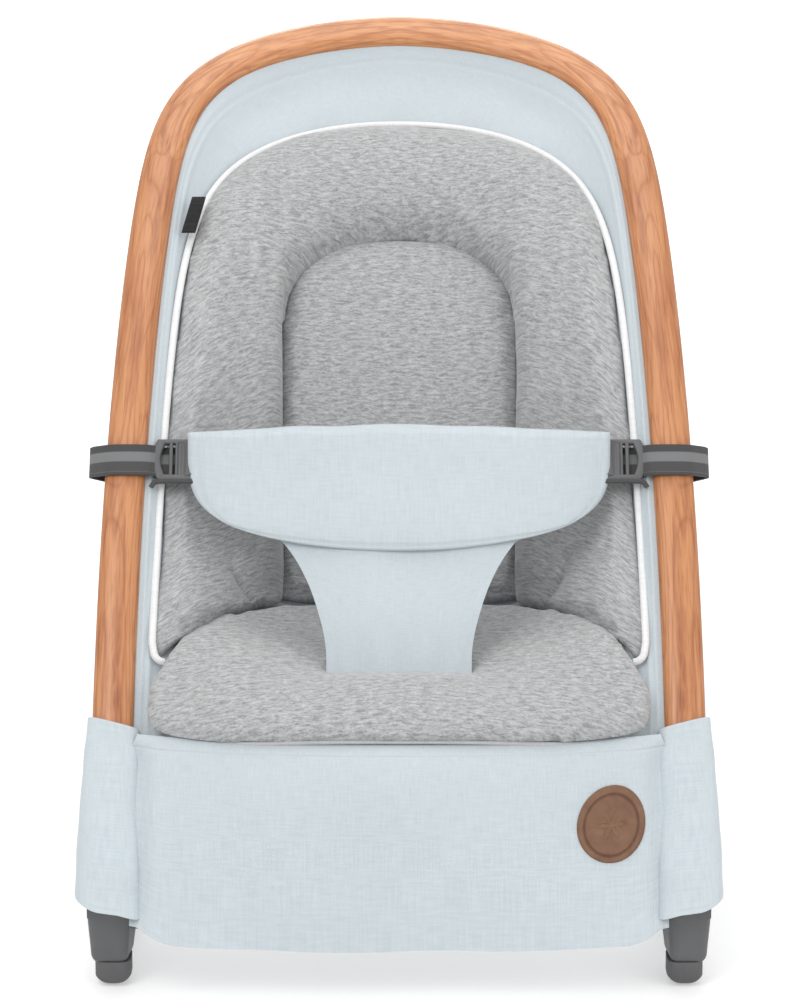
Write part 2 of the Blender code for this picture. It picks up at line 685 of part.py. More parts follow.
def build():
    clear_scene()
    wood = make_material("wood_film", (0.72, 0.36, 0.17), 0.35)
    blue = make_material("blue_fabric", (0.63, 0.73, 0.79), 0.9)
    jersey = make_material("grey_jersey", (0.50, 0.50, 0.51), 0.95)
    webbing = make_material("webbing", (0.05, 0.05, 0.05), 0.8)
    plastic = make_material("graphite_plastic", (0.11, 0.11, 0.12), 0.5)
    steel = make_material("graphite_steel", (0.16, 0.16, 0.17), 0.4, 0.6)
    rubber = make_material("rubber", (0.07, 0.07, 0.07), 0.85)
    leather = make_material("brown_leather", (0.28, 0.15, 0.08), 0.6)
    black = make_material("black_label", (0.02, 0.02, 0.02), 0.8)

    make_base(steel, plastic, rubber)
    seat = [make_hoop(wood), make_sling(blue), make_bolster(jersey), make_back_pad(jersey), make_seat_pad(jersey),
            make_skirt(blue), make_badge(leather), make_label(black), make_front_rod(steel)]
    pairs = ((make_end_fitting, plastic), (make_boot, blue), (make_strap, webbing), (make_buckle_frame, plastic),
             (make_strut_bracket, plastic), (make_strut_pin, steel))
    for maker, material in pairs:
        seat.extend(sides(lambda side, label, m=maker, t=material: m(side, label, t)).values())
    restraint = [make_restraint(blue)]
    restraint.extend(sides(lambda side, label: make_buckle_tongue(side, label, plastic)).values())

    add_axis("seat_axis", (0.0, PIVOT_Y, PIVOT_Z), seat)
    add_axis("restraint_axis", (0.0, SLOT_Y, SLOT_Z), restraint)
    add_axis("strut_axis", strut_pivot(), make_strut(steel, plastic))
    add_axis("lever_axis", (0.0, CROSS_Y, SLIDE_Z), make_lever(plastic, steel))


build()
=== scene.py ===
import json
import math

import bmesh
import bpy
from mathutils import Matrix, Vector, noise


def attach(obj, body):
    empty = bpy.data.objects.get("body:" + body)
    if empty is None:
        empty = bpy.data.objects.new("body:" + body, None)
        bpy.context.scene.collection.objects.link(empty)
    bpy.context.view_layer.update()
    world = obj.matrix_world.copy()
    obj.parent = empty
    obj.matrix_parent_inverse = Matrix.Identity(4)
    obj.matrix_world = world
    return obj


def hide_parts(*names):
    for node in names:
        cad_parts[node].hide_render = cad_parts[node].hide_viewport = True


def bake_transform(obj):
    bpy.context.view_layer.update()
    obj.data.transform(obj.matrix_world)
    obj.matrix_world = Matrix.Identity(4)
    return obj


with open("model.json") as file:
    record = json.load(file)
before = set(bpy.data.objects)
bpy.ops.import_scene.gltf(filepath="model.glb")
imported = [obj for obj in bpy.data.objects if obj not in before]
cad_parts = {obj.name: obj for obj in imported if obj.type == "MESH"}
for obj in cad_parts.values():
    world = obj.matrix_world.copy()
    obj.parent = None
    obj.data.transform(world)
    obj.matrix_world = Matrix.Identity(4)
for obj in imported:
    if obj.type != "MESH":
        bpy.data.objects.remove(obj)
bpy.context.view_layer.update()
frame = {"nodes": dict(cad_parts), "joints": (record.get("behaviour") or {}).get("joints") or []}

# ----------------------------------------
# Camera, floor and light.
# The seat stands on a plain pale floor under soft studio light, seen from the front and a
# little above, with a long lens.

VIEW_PITCH = math.radians(15)
VIEW_DISTANCE = 3.4
VIEW_HEIGHT = 0.2724
VIEW_LENS = 156.5

camera = bpy.data.objects.new("camera", bpy.data.cameras.new("camera"))
bpy.context.scene.collection.objects.link(camera)
bpy.context.scene.camera = camera
camera.data.lens = VIEW_LENS
camera.location = (0.0007,
                   -VIEW_DISTANCE * math.cos(VIEW_PITCH) + VIEW_HEIGHT * math.sin(VIEW_PITCH),
                   VIEW_DISTANCE * math.sin(VIEW_PITCH) + VIEW_HEIGHT * math.cos(VIEW_PITCH))
camera.rotation_euler = (math.pi / 2 - VIEW_PITCH, 0.0, 0.0)


def area_light(name, place_at, look_at, size, power):
    light = bpy.data.lights.new(name, "AREA")
    light.shape = "DISK"
    light.size = size
    light.energy = power
    lamp = bpy.data.objects.new(name, light)
    bpy.context.scene.collection.objects.link(lamp)
    lamp.location = place_at
    lamp.rotation_euler = (Vector(look_at) - Vector(place_at)).to_track_quat("-Z", "Y").to_euler()


area_light("key_light", (-1.1, -1.9, 2.3), (0.0, 0.0, 0.3), 1.6, 29)
area_light("fill_light", (1.8, -1.6, 1.3), (0.0, 0.0, 0.3), 1.8, 13)
area_light("top_light", (0.0, 0.3, 2.4), (0.0, 0.0, 0.3), 1.6, 14)
area_light("floor_light", (0.0, 4.6, 2.6), (0.0, 4.4, 0.0), 3.5, 120)

world = bpy.data.worlds.new("studio")
world.use_nodes = True
world.node_tree.nodes["Background"].inputs["Color"].default_value = (1.0, 1.0, 1.0, 1.0)
world.node_tree.nodes["Background"].inputs["Strength"].default_value = 0.88
bpy.context.scene.world = world
bpy.context.scene.view_settings.view_transform = "Standard"

floor_mesh = bmesh.new()
bmesh.ops.create_grid(floor_mesh, x_segments=1, y_segments=1, size=12.0)
bmesh.ops.translate(floor_mesh, verts=floor_mesh.verts, vec=(0.0, 0.0, -0.0004))
floor_data = bpy.data.meshes.new("floor")
floor_mesh.to_mesh(floor_data)
floor = bpy.data.objects.new("floor", floor_data)
bpy.context.scene.collection.objects.link(floor)
floor_finish = bpy.data.materials.new("floor_paint")
floor_finish.use_nodes = True
floor_finish.node_tree.nodes["Principled BSDF"].inputs["Base Color"].default_value = (0.60, 0.60, 0.60, 1.0)
floor_finish.node_tree.nodes["Principled BSDF"].inputs["Emission Color"].default_value = (1.0, 1.0, 1.0, 1.0)
floor_finish.node_tree.nodes["Principled BSDF"].inputs["Emission Strength"].default_value = 0.38
floor_finish.node_tree.nodes["Principled BSDF"].inputs["Roughness"].default_value = 0.9
floor.data.materials.append(floor_finish)

# ----------------------------------------
# Hoop: an oval tube, 30 by 16 mm, wrapped in a wood-grain film with a satin coat.
# It leans back in one long arc, one bend from foot to foot. Everything sewn to it is laid out
# flat, as distance across, length along the hoop and depth behind it, and bent onto that arc.

pivot = Vector(next(j for j in frame["joints"] if j["name"] == "seat_fold")["pos_m"])
FOOT_SLOPE = math.radians(58)
TOP_SLOPE = math.radians(34)
HOOP_LENGTH = 0.75
HOOP_RADIUS = HOOP_LENGTH / (FOOT_SLOPE - TOP_SLOPE)
HOOP_HALF_WIDTH = 0.2078
BOTH_SIDES = ((-1, "left"), (1, "right"))
TUBE_WIDTH = 0.030
TUBE_DEPTH = 0.016


def place(across, along, behind):
    slope = FOOT_SLOPE - along / HOOP_RADIUS
    y = pivot.y + HOOP_RADIUS * (math.sin(FOOT_SLOPE) - math.sin(slope))
    z = pivot.z + HOOP_RADIUS * (math.cos(slope) - math.cos(FOOT_SLOPE))
    return Vector((across, y + behind * math.sin(slope), z - behind * math.cos(slope)))


def behind_direction(along):
    return (place(0.0, along, 1.0) - place(0.0, along, 0.0)).normalized()


def taper_width(along):
    return HOOP_HALF_WIDTH - 0.075 * max(along, 0.0) ** 2.5


def arch_width(along, inset, top, power, roundness):
    """Half width, at a length along the hoop, of an arched outline set in from the tube's middle."""
    rise = min(max(along, 0.0) / top, 1.0)
    return (taper_width(along) - inset) * (1.0 - rise ** power) ** (1.0 / roundness)


def last_true(test, low, high, steps=30):
    """The furthest value from low towards high for which the test holds."""
    for _ in range(steps):
        middle = (low + high) / 2
        if test(middle):
            low = middle
        else:
            high = middle
    return low


def arch_line(half_width, top, start, count):
    """Points (across, along) up the right side of an arched outline, from start to its top."""
    shoulder = start + (top - start) * 0.80
    points = []
    side_count = round(count * 0.55)
    for k in range(side_count):
        along = start + (shoulder - start) * k / side_count
        points.append((half_width(along), along))
    widest = half_width(shoulder)
    for k in range(count - side_count):
        across = widest * math.cos(math.pi / 2 * k / (count - side_count))
        points.append((across, last_true(lambda a: half_width(a) > across, 0.5 * top, top, 40)))
    return points + [(0.0, top)]


def smooth_value(points, x):
    """Smooth curve through (x, y) points."""
    x = min(max(x, points[0][0]), points[-1][0])
    i = max([k for k in range(len(points) - 1) if points[k][0] <= x] or [0])
    a, b = points[max(i - 1, 0)], points[i]
    c, d = points[i + 1], points[min(i + 2, len(points) - 1)]
    width = c[0] - b[0]
    t = (x - b[0]) / width
    m1 = (c[1] - a[1]) / (c[0] - a[0]) * width
    m2 = (d[1] - b[1]) / (d[0] - b[0]) * width
    return ((2 * t ** 3 - 3 * t ** 2 + 1) * b[1] + (t ** 3 - 2 * t ** 2 + t) * m1
            + (3 * t ** 2 - 2 * t ** 3) * c[1] + (t ** 3 - t ** 2) * m2)


def ease(low, high, x):
    t = min(max((x - low) / (high - low), 0.0), 1.0)
    return t * t * (3 - 2 * t)


def soft_power(value, power):
    """A power that keeps the sign, so that a circle's sine and cosine give a rounded rectangle."""
    return math.copysign(abs(value) ** power, value)


def upward(i):
    return Vector((0, 0, 1))


def finish_piece(bm, name, body, finish, smooth=60):
    bmesh.ops.recalc_face_normals(bm, faces=bm.faces)
    if bm.calc_volume(signed=True) < 0:
        bmesh.ops.reverse_faces(bm, faces=bm.faces)
    mesh = bpy.data.meshes.new(name)
    bm.to_mesh(mesh)
    bm.free()
    mesh.shade_smooth()
    mesh.set_sharp_from_angle(angle=math.radians(smooth))
    mesh.materials.append(finish)
    piece = bpy.data.objects.new(name, mesh)
    bpy.context.scene.collection.objects.link(piece)
    if body:
        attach(piece, body)
    return piece


def flat_grid(columns, rows, size_u=1.0, size_v=1.0):
    """A unit grid whose UV map is in metres."""
    bm = bmesh.new()
    bm.loops.layers.uv.new("cloth")
    bmesh.ops.create_grid(bm, x_segments=columns, y_segments=rows, size=0.5, calc_uvs=True)
    layer = bm.loops.layers.uv.active
    for face in bm.faces:
        for loop in face.loops:
            loop[layer].uv.x *= size_u
            loop[layer].uv.y *= size_v
    return bm


def sweep(name, body, finish, path, facing, half_width, half_depth, sides=16, power=2.0):
    """A tube of oval section along a path; facing gives the direction of its flat side at each point."""
    path = [Vector(p) for p in path]
    lengths = [0.0]
    for a, b in zip(path, path[1:]):
        lengths.append(lengths[-1] + (b - a).length)
    bm = flat_grid(len(path) - 1, sides, lengths[-1], 2.2 * (half_width + half_depth))
    last = len(path) - 1
    for vert in bm.verts:
        i = round((vert.co.x + 0.5) * last)
        angle = 2 * math.pi * (round((vert.co.y + 0.5) * sides) % sides) / sides
        along = (path[min(i + 1, last)] - path[max(i - 1, 0)]).normalized()
        out = facing(i)
        out = (out - along * out.dot(along)).normalized()
        wide = along.cross(out)
        vert.co = (path[i] + wide * soft_power(math.cos(angle), 2 / power) * half_width
                   + out * soft_power(math.sin(angle), 2 / power) * half_depth)
    bmesh.ops.remove_doubles(bm, verts=bm.verts, dist=0.00001)
    open_edges = [e for e in bm.edges if e.is_boundary]
    if open_edges:
        bmesh.ops.holes_fill(bm, edges=open_edges, sides=0)
    return finish_piece(bm, name, body, finish)


def new_finish(name, roughness, metallic=0.0, specular=0.5, sheen=0.0, coat=0.0):
    material = bpy.data.materials.new(name)
    material.use_nodes = True
    shader = material.node_tree.nodes["Principled BSDF"]
    shader.inputs["Roughness"].default_value = roughness
    shader.inputs["Metallic"].default_value = metallic
    shader.inputs["Specular IOR Level"].default_value = specular
    shader.inputs["Sheen Weight"].default_value = sheen
    shader.inputs["Sheen Roughness"].default_value = 0.5
    shader.inputs["Coat Weight"].default_value = coat
    shader.inputs["Coat Roughness"].default_value = 0.25
    return material, material.node_tree, shader


def add_node(tree, kind, values=None, **settings):
    node = tree.nodes.new(kind)
    for key, value in settings.items():
        setattr(node, key, value)
    for key, value in (values or {}).items():
        node.inputs[key].default_value = value
    return node


def scaled(tree, vector, scale):
    mapping = add_node(tree, "ShaderNodeMapping", {"Scale": scale})
    tree.links.new(vector, mapping.inputs["Vector"])
    return mapping.outputs["Vector"]


def stretched(tree, source, scale=(1.0, 1.0, 1.0)):
    """Coordinates from a texture coordinate output, scaled along each axis."""
    return scaled(tree, add_node(tree, "ShaderNodeTexCoord").outputs[source], scale)


def split_axes(tree, vector):
    split = add_node(tree, "ShaderNodeSeparateXYZ")
    tree.links.new(vector, split.inputs["Vector"])
    return split.outputs


def noise_value(tree, vector, scale, detail=2.0, roughness=0.5, distortion=0.0):
    node = add_node(tree, "ShaderNodeTexNoise", {"Scale": scale, "Detail": detail, "Roughness": roughness,
                                                 "Distortion": distortion})
    tree.links.new(vector, node.inputs["Vector"])
    return node.outputs["Fac"]


def math_value(tree, operation, a, b=None):
    node = add_node(tree, "ShaderNodeMath", operation=operation)
    for socket, value in zip(node.inputs, (a, b)):
        if value is None:
            continue
        if isinstance(value, (int, float)):
            socket.default_value = value
        else:
            tree.links.new(value, socket)
    return node.outputs[0]


def ramp(tree, value, stops):
    """A colour ramp: stops are (position, (r, g, b))."""
    node = add_node(tree, "ShaderNodeValToRGB")
    elements = node.color_ramp.elements
    while len(elements) < len(stops):
        elements.new(0.5)
    for element, (position, colour) in zip(elements, stops):
        element.position = position
        element.color = (*colour, 1.0)
    tree.links.new(value, node.inputs["Fac"])
    return node.outputs["Color"]


def mix_colour(tree, factor, a, b, blend="MIX"):
    node = add_node(tree, "ShaderNodeMix", data_type="RGBA", blend_type=blend)
    for socket, value in ((node.inputs["Factor"], factor), (node.inputs["A"], a), (node.inputs["B"], b)):
        if isinstance(value, (int, float)):
            socket.default_value = value
        elif isinstance(value, tuple):
            socket.default_value = (*value, 1.0)
        else:
            tree.links.new(value, socket)
    return node.outputs["Result"]


def paint(tree, shader, colour, roughness=None):
    tree.links.new(colour, shader.inputs["Base Color"])
    if roughness is not None:
        tree.links.new(roughness, shader.inputs["Roughness"])


def bump(tree, shader, height, strength, distance, below=None):
    node = add_node(tree, "ShaderNodeBump", {"Strength": strength, "Distance": distance})
    tree.links.new(height, node.inputs["Height"])
    if below is not None:
        tree.links.new(below, node.inputs["Normal"])
    tree.links.new(node.outputs["Normal"], shader.inputs["Normal"])
    return node.outputs["Normal"]


def group_of(name, inputs, outputs):
    """An empty node group with named value sockets."""
    tree = bpy.data.node_groups.new(name, "ShaderNodeTree")
    for socket, kind, default in inputs:
        made = tree.interface.new_socket(socket, in_out="INPUT", socket_type=kind)
        if default is not None:
            made.default_value = default
    for socket, kind in outputs:
        tree.interface.new_socket(socket, in_out="OUTPUT", socket_type=kind)
    return tree, tree.nodes.new("NodeGroupInput"), tree.nodes.new("NodeGroupOutput")


def use_group(tree, group, **values):
    node = tree.nodes.new("ShaderNodeGroup")
    node.node_tree = group
    for key, value in values.items():
        node.inputs[key].default_value = value
    return node


WHITE = (1.0, 1.0, 1.0)
HOOP_START = 0.032
WOOD_LIGHT = (0.560, 0.262, 0.112)
WOOD_MID = (0.430, 0.170, 0.064)
WOOD_DARK = (0.270, 0.088, 0.031)


def wood_film():
    material, tree, shader = new_finish("wood_film", 0.42, coat=0.12)
    split = split_axes(tree, add_node(tree, "ShaderNodeTexCoord").outputs["UV"])
    mirrored = math_value(tree, "ABSOLUTE", split["X"])
    joined = add_node(tree, "ShaderNodeCombineXYZ")
    tree.links.new(mirrored, joined.inputs["X"])
    tree.links.new(split["Y"], joined.inputs["Y"])
    layers = {}
    for layer, scale, detail, distortion in (("figure", (4.2, 60.0, 1.0), 1.0, 0.25),
                                             ("streak", (17.0, 330.0, 1.0), 4.0, 0.5),
                                             ("pores", (42.0, 1100.0, 1.0), 2.0, 0.2),
                                             ("blotch", (11.0, 70.0, 1.0), 3.0, 0.8)):
        vector = scaled(tree, joined.outputs["Vector"], scale)
        layers[layer] = noise_value(tree, vector, 1.0, detail, 0.58, distortion)
    rings = math_value(tree, "PINGPONG", math_value(tree, "MULTIPLY", layers["figure"], 13.0), 0.5)
    rings = math_value(tree, "MULTIPLY", rings, 2.0)
    pores = layers["pores"]
    base = ramp(tree, layers["streak"], [(0.34, WOOD_DARK), (0.44, WOOD_MID), (0.56, WOOD_LIGHT),
                                         (0.72, WOOD_LIGHT)])
    warm = ramp(tree, layers["blotch"], [(0.38, WOOD_MID), (0.60, WOOD_LIGHT)])
    colour = mix_colour(tree, 0.45, base, warm)
    lines = ramp(tree, rings, [(0.0, (0.74, 0.62, 0.54)), (0.25, (0.94, 0.91, 0.89)), (0.6, WHITE)])
    colour = mix_colour(tree, 0.75, colour, lines, "MULTIPLY")
    dark_pores = ramp(tree, pores, [(0.34, (0.70, 0.62, 0.56)), (0.48, WHITE)])
    colour = mix_colour(tree, 0.6, colour, dark_pores, "MULTIPLY")
    # Painted shade: the film is darkened from the top of the hoop down its sides towards the feet, standing
    # in for the lesser light there.
    painted_side_shade = ramp(tree, mirrored, [(0.16, WHITE), (0.42, (0.87, 0.82, 0.78))])
    colour = mix_colour(tree, 1.0, colour, painted_side_shade, "MULTIPLY")
    rough = add_node(tree, "ShaderNodeMapRange", {"To Min": 0.50, "To Max": 0.36})
    tree.links.new(rings, rough.inputs["Value"])
    paint(tree, shader, colour, rough.outputs["Result"])
    bump(tree, shader, pores, 0.12, 0.0003)
    return material


def hoop_line(behind, start=HOOP_START, count=92):
    side = arch_line(lambda a: arch_width(a, 0.0, HOOP_LENGTH, 18, 1.7), HOOP_LENGTH, start, count)
    flat = [(-x, s) for x, s in side] + [(x, s) for x, s in reversed(side[:-1])]
    return flat, [place(x, s, behind) for x, s in flat]


hoop_flat, hoop_path = hoop_line(0.0)
hoop = sweep("hoop_tube", "seat", wood_film(), hoop_path,
             lambda i: behind_direction(hoop_flat[i][1]), TUBE_WIDTH / 2, TUBE_DEPTH / 2,
             sides=28, power=2.35)
hoop_uv = hoop.data.uv_layers.active.data
hoop_half = max(loop.uv.x for loop in hoop_uv) / 2
for loop in hoop_uv:
    loop.uv.x -= hoop_half
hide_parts("hoop")

# ----------------------------------------
# Sling: the light-blue woven seat cloth, sewn into the hoop's inner side and hanging behind it.
# Two stitched ridges run beside the hoop down each side, and one stitched seam goes over the top.

SLING_DEPTH = [(0.06, -0.075), (0.085, -0.052), (0.125, -0.020), (0.163, 0.022), (0.215, 0.088),
               (0.265, 0.122), (0.34, 0.116), (0.45, 0.090), (0.55, 0.064), (0.65, 0.034), (0.76, 0.004)]
SLING_INSET = 0.0128
SLING_TOP = HOOP_LENGTH - SLING_INSET
BLUE = (0.500, 0.545, 0.568)
BLUE_SHADE = (0.440, 0.498, 0.527)


def sling_depth(across, along):
    ratio = min(abs(across) / (taper_width(along) - 0.0198), 1.0)
    return smooth_value(SLING_DEPTH, along) * (1.0 - ratio ** 3)


def weave_group():
    """Threads crossing over and under: Mask is light on the raised ones, Height follows them."""
    tree, given, made = group_of("plain_weave", [("Vector", "NodeSocketVector", None),
                                                 ("Threads per metre", "NodeSocketFloat", 1500.0)],
                                 [("Mask", "NodeSocketFloat"), ("Height", "NodeSocketFloat"),
                                  ("Slub", "NodeSocketFloat")])
    split = split_axes(tree, given.outputs["Vector"])
    waves = []
    for axis in ("X", "Y"):
        turns = math_value(tree, "MULTIPLY", split[axis], given.outputs["Threads per metre"])
        waves.append(math_value(tree, "SINE", math_value(tree, "MULTIPLY", turns, math.pi)))
    cross = math_value(tree, "MULTIPLY", waves[0], waves[1])
    height = math_value(tree, "MULTIPLY_ADD", cross, 0.5)
    height.node.inputs[2].default_value = 0.5
    slubs = []
    for scale in ((60.0, 900.0, 900.0), (900.0, 60.0, 900.0)):
        slubs.append(noise_value(tree, scaled(tree, given.outputs["Vector"], scale), 1.0, 2.0, 0.6))
    slub = math_value(tree, "MULTIPLY", math_value(tree, "ADD", slubs[0], slubs[1]), 0.5)
    tree.links.new(height, made.inputs["Mask"])
    tree.links.new(math_value(tree, "ADD", height, math_value(tree, "MULTIPLY", slub, 1.2)),
                   made.inputs["Height"])
    tree.links.new(slub, made.inputs["Slub"])
    return tree


plain_weave = weave_group()


def woven(name, light, shade, threads=1500.0, sheen=0.25):
    material, tree, shader = new_finish(name, 0.88, sheen=sheen, specular=0.25)
    weave = use_group(tree, plain_weave, **{"Threads per metre": threads})
    tree.links.new(stretched(tree, "UV"), weave.inputs["Vector"])
    tone = ramp(tree, weave.outputs["Slub"], [(0.4, shade), (0.6, light)])
    broad = noise_value(tree, stretched(tree, "Object"), 9.0, 2.0)
    tone = mix_colour(tree, 0.5, tone, ramp(tree, broad, [(0.35, (0.94, 0.95, 0.96)), (0.65, WHITE)]),
                      "MULTIPLY")
    # Painted shade: the colour is darkened in the valleys between the raised threads.
    painted_valley_shade = ramp(tree, weave.outputs["Mask"], [(0.0, (0.90, 0.90, 0.90)), (0.6, WHITE)])
    paint(tree, shader, mix_colour(tree, 0.5, tone, painted_valley_shade, "MULTIPLY"))
    bump(tree, shader, weave.outputs["Height"], 0.25, 0.0004)
    return material


blue_cloth = woven("blue_cloth", BLUE, BLUE_SHADE)


def cloth_sheet(name, body, finish, columns, rows, shape, thickness, size_u=1.0, size_v=1.0):
    """One layer of cloth laid by shape(u, v), given its thickness both ways from the layer."""
    bm = flat_grid(columns, rows, size_u, size_v)
    for vert in bm.verts:
        vert.co = shape(vert.co.x + 0.5, vert.co.y + 0.5)
    bmesh.ops.remove_doubles(bm, verts=bm.verts, dist=0.00002)
    bmesh.ops.dissolve_degenerate(bm, dist=0.00001, edges=bm.edges)
    bmesh.ops.recalc_face_normals(bm, faces=bm.faces)
    bmesh.ops.solidify(bm, geom=bm.faces, thickness=thickness)
    return finish_piece(bm, name, body, finish)


def wrinkle(x, y, z, scale, height):
    return height * noise.noise(Vector((x * scale, y * scale, z * scale)))


SLING_STEPS = [0.0, 0.0018, 0.0034, 0.0050, 0.0062, 0.0074, 0.0086, 0.0098, 0.0110, 0.0122, 0.0134, 0.0146,
               0.0160, 0.0180, 0.0210, 0.0250, 0.0300, 0.0360, 0.0440]
SLING_ROWS = 40
sling_count = 80
sling_edge = arch_line(lambda a: arch_width(a, SLING_INSET, SLING_TOP, 18, 1.7), SLING_TOP, 0.094,
                       sling_count)


def sling_point(u, v):
    side = 1.0 if u >= 0.5 else -1.0
    i = min(round(abs(u - 0.5) * 2 * sling_count), sling_count)
    edge = Vector(sling_edge[sling_count - i])
    t = (sling_count - i) / sling_count
    spine = Vector((0.0, 0.091 + (0.655 - 0.091) * t))
    reach = (spine - edge).length
    j = round(v * SLING_ROWS)
    if j < len(SLING_STEPS):
        inward = SLING_STEPS[j]
    else:
        part = (j - len(SLING_STEPS) + 1) / (SLING_ROWS - len(SLING_STEPS) + 1)
        inward = SLING_STEPS[-1] + (reach - SLING_STEPS[-1]) * part
    across, along = edge + (spine - edge) * min(inward / reach, 1.0)
    top = ease(0.60, 0.72, along)
    ridge = (1 - top) * math.exp(-((inward - 0.0068) / 0.0016) ** 2)
    ridge += (1 - top) * math.exp(-((inward - 0.0122) / 0.0016) ** 2)
    ridge -= top * 0.6 * math.exp(-((inward - 0.0110) / 0.0012) ** 2)
    soft = wrinkle(across, along, 0.0, 26.0, 0.0016) * ease(0.010, 0.030, inward)
    sink = 1 - max(1 - inward / 0.030, 0.0) ** 2
    return place(side * across, along, sling_depth(across, along) * sink - 0.0013 * ridge + soft)


sling = cloth_sheet("sling_cloth", "seat", blue_cloth, 2 * sling_count, SLING_ROWS,
                    sling_point, 0.0016, 1.75, 0.30)
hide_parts("sling")

# ----------------------------------------
# Seat pads: three stuffed pads in grey melange jersey, a head-and-side bolster like an arch, a
# panel set into it behind the back, and the seat pad. They are sewn and lie on the sling.

GREY_LIGHT = (0.320, 0.323, 0.327)
GREY_DARK = (0.205, 0.208, 0.213)


def jersey():
    material, tree, shader = new_finish("grey_jersey", 0.93, sheen=0.35, specular=0.15)
    streak = noise_value(tree, stretched(tree, "UV", (130.0, 480.0, 1.0)), 1.0, 4.0, 0.62, 0.4)
    fleck = noise_value(tree, stretched(tree, "UV", (420.0, 1250.0, 1.0)), 1.0, 2.0, 0.5)
    both = math_value(tree, "ADD", math_value(tree, "MULTIPLY", streak, 0.65),
                      math_value(tree, "MULTIPLY", fleck, 0.35))
    colour = ramp(tree, both, [(0.37, GREY_DARK), (0.49, GREY_LIGHT), (0.64, (0.46, 0.463, 0.466))])
    paint(tree, shader, colour)
    ribs = add_node(tree, "ShaderNodeTexWave", {"Scale": 240.0, "Distortion": 1.2, "Detail": 1.0},
                    bands_direction="X")
    tree.links.new(stretched(tree, "UV"), ribs.inputs["Vector"])
    below = bump(tree, shader, ribs.outputs["Fac"], 0.12, 0.0003)
    bump(tree, shader, streak, 0.22, 0.0007, below)
    return material


grey_jersey = jersey()
arc_centre = Vector((0.0, pivot.y + HOOP_RADIUS * math.sin(FOOT_SLOPE),
                     pivot.z - HOOP_RADIUS * math.cos(FOOT_SLOPE)))


def unplace(point):
    """The distance across, length along the hoop and depth behind it of a point."""
    arm = point - arc_centre
    slope = math.atan2(-arm.y, arm.z)
    return point.x, (FOOT_SLOPE - slope) * HOOP_RADIUS, HOOP_RADIUS - math.hypot(arm.y, arm.z)


def pad_grid(columns, rows, shape):
    bm = flat_grid(columns, rows)
    skin = bmesh.ops.extrude_face_region(bm, geom=bm.faces[:], use_keep_orig=True)
    raised = [v for v in skin["geom"] if isinstance(v, bmesh.types.BMVert)]
    bmesh.ops.translate(bm, verts=raised, vec=(0, 0, 1))
    for vert in bm.verts:
        vert.co = shape(vert.co.x + 0.5, vert.co.y + 0.5, round(vert.co.z))
    bmesh.ops.remove_doubles(bm, verts=bm.verts, dist=0.00005)
    bmesh.ops.dissolve_degenerate(bm, dist=0.00001, edges=bm.edges)
    bmesh.ops.recalc_face_normals(bm, faces=bm.faces)
    if bm.calc_volume(signed=True) < 0:
        bmesh.ops.reverse_faces(bm, faces=bm.faces)
    return bm


def puff(bm, voxel, pressure, cap, settle):
    """Swell a closed shape as its filling does: remesh it, blow it up a little and settle each point."""
    mesh = bpy.data.meshes.new("swelling")
    bm.to_mesh(mesh)
    bm.free()
    body = bpy.data.objects.new("swelling", mesh)
    bpy.context.scene.collection.objects.link(body)
    remesh = body.modifiers.new("remesh", "REMESH")
    remesh.mode = "VOXEL"
    remesh.voxel_size = voxel
    even = bpy.data.meshes.new_from_object(body.evaluated_get(bpy.context.evaluated_depsgraph_get()))
    body.modifiers.clear()
    body.data = even
    start = [v.co.copy() for v in even.vertices]
    cloth = body.modifiers.new("swell", "CLOTH")
    cloth.settings.use_pressure = True
    cloth.settings.uniform_pressure_force = pressure
    cloth.settings.effector_weights.gravity = 0.0
    cloth.point_cache.frame_start = 1
    cloth.point_cache.frame_end = 20
    for step in range(1, 21):
        bpy.context.scene.frame_set(step)
    swollen = bpy.data.meshes.new_from_object(body.evaluated_get(bpy.context.evaluated_depsgraph_get()))
    body.modifiers.clear()
    body.data = swollen
    bpy.context.scene.frame_set(1)
    result = bmesh.new()
    result.from_mesh(body.data)
    result.verts.ensure_lookup_table()
    for vert, first in zip(result.verts, start):
        move = vert.co - first
        if move.length > cap:
            vert.co = first + move * (cap / move.length)
    bmesh.ops.smooth_vert(result, verts=result.verts, factor=0.5, use_axis_x=True, use_axis_y=True,
                          use_axis_z=True)
    bmesh.ops.smooth_vert(result, verts=result.verts, factor=0.5, use_axis_x=True, use_axis_y=True,
                          use_axis_z=True)
    bmesh.ops.subdivide_edges(result, edges=result.edges, cuts=1, use_grid_fill=True, smooth=0.6)
    for vert in result.verts:
        vert.co = settle(vert.co)
    bpy.data.objects.remove(body)
    return result


def pattern_uv(bm, shift):
    """UVs in metres across and along the hoop, slid along it by shift(across, along)."""
    layer = bm.loops.layers.uv.verify()
    for face in bm.faces:
        for loop in face.loops:
            across, along = unplace(loop.vert.co)[:2]
            loop[layer].uv = (across, along + shift(across, along))


def on_sling(gap):
    """Keeps a pad's points in front of the sling."""
    def settle(co):
        across, along, behind = unplace(co)
        return place(across, along, min(behind, sling_depth(across, along) - gap))
    return settle


BOLSTER_TOP = 0.668
BOLSTER_FOOT = 0.1640
PANEL_TOP = 0.566
PANEL_FOOT = 0.262
PANEL_HALF_WIDTH = 0.0895
BOLSTER_RISE = [(0.0, 0.006), (0.06, 0.014), (0.22, 0.026), (0.5, 0.033), (0.8, 0.034), (0.93, 0.027),
                (1.0, 0.010)]
bolster_count = 110
bolster_edge = arch_line(lambda a: arch_width(a, 0.0252, BOLSTER_TOP, 12, 2.3), BOLSTER_TOP, BOLSTER_FOOT,
                         bolster_count)


def panel_width(along, half, top):
    return half * (1.0 - min(max(along, 0.0) / top, 1.0) ** 25) ** (1.0 / 2.2)


bolster_hole = arch_line(lambda a: panel_width(a, PANEL_HALF_WIDTH, PANEL_TOP), PANEL_TOP, 0.258,
                         bolster_count)


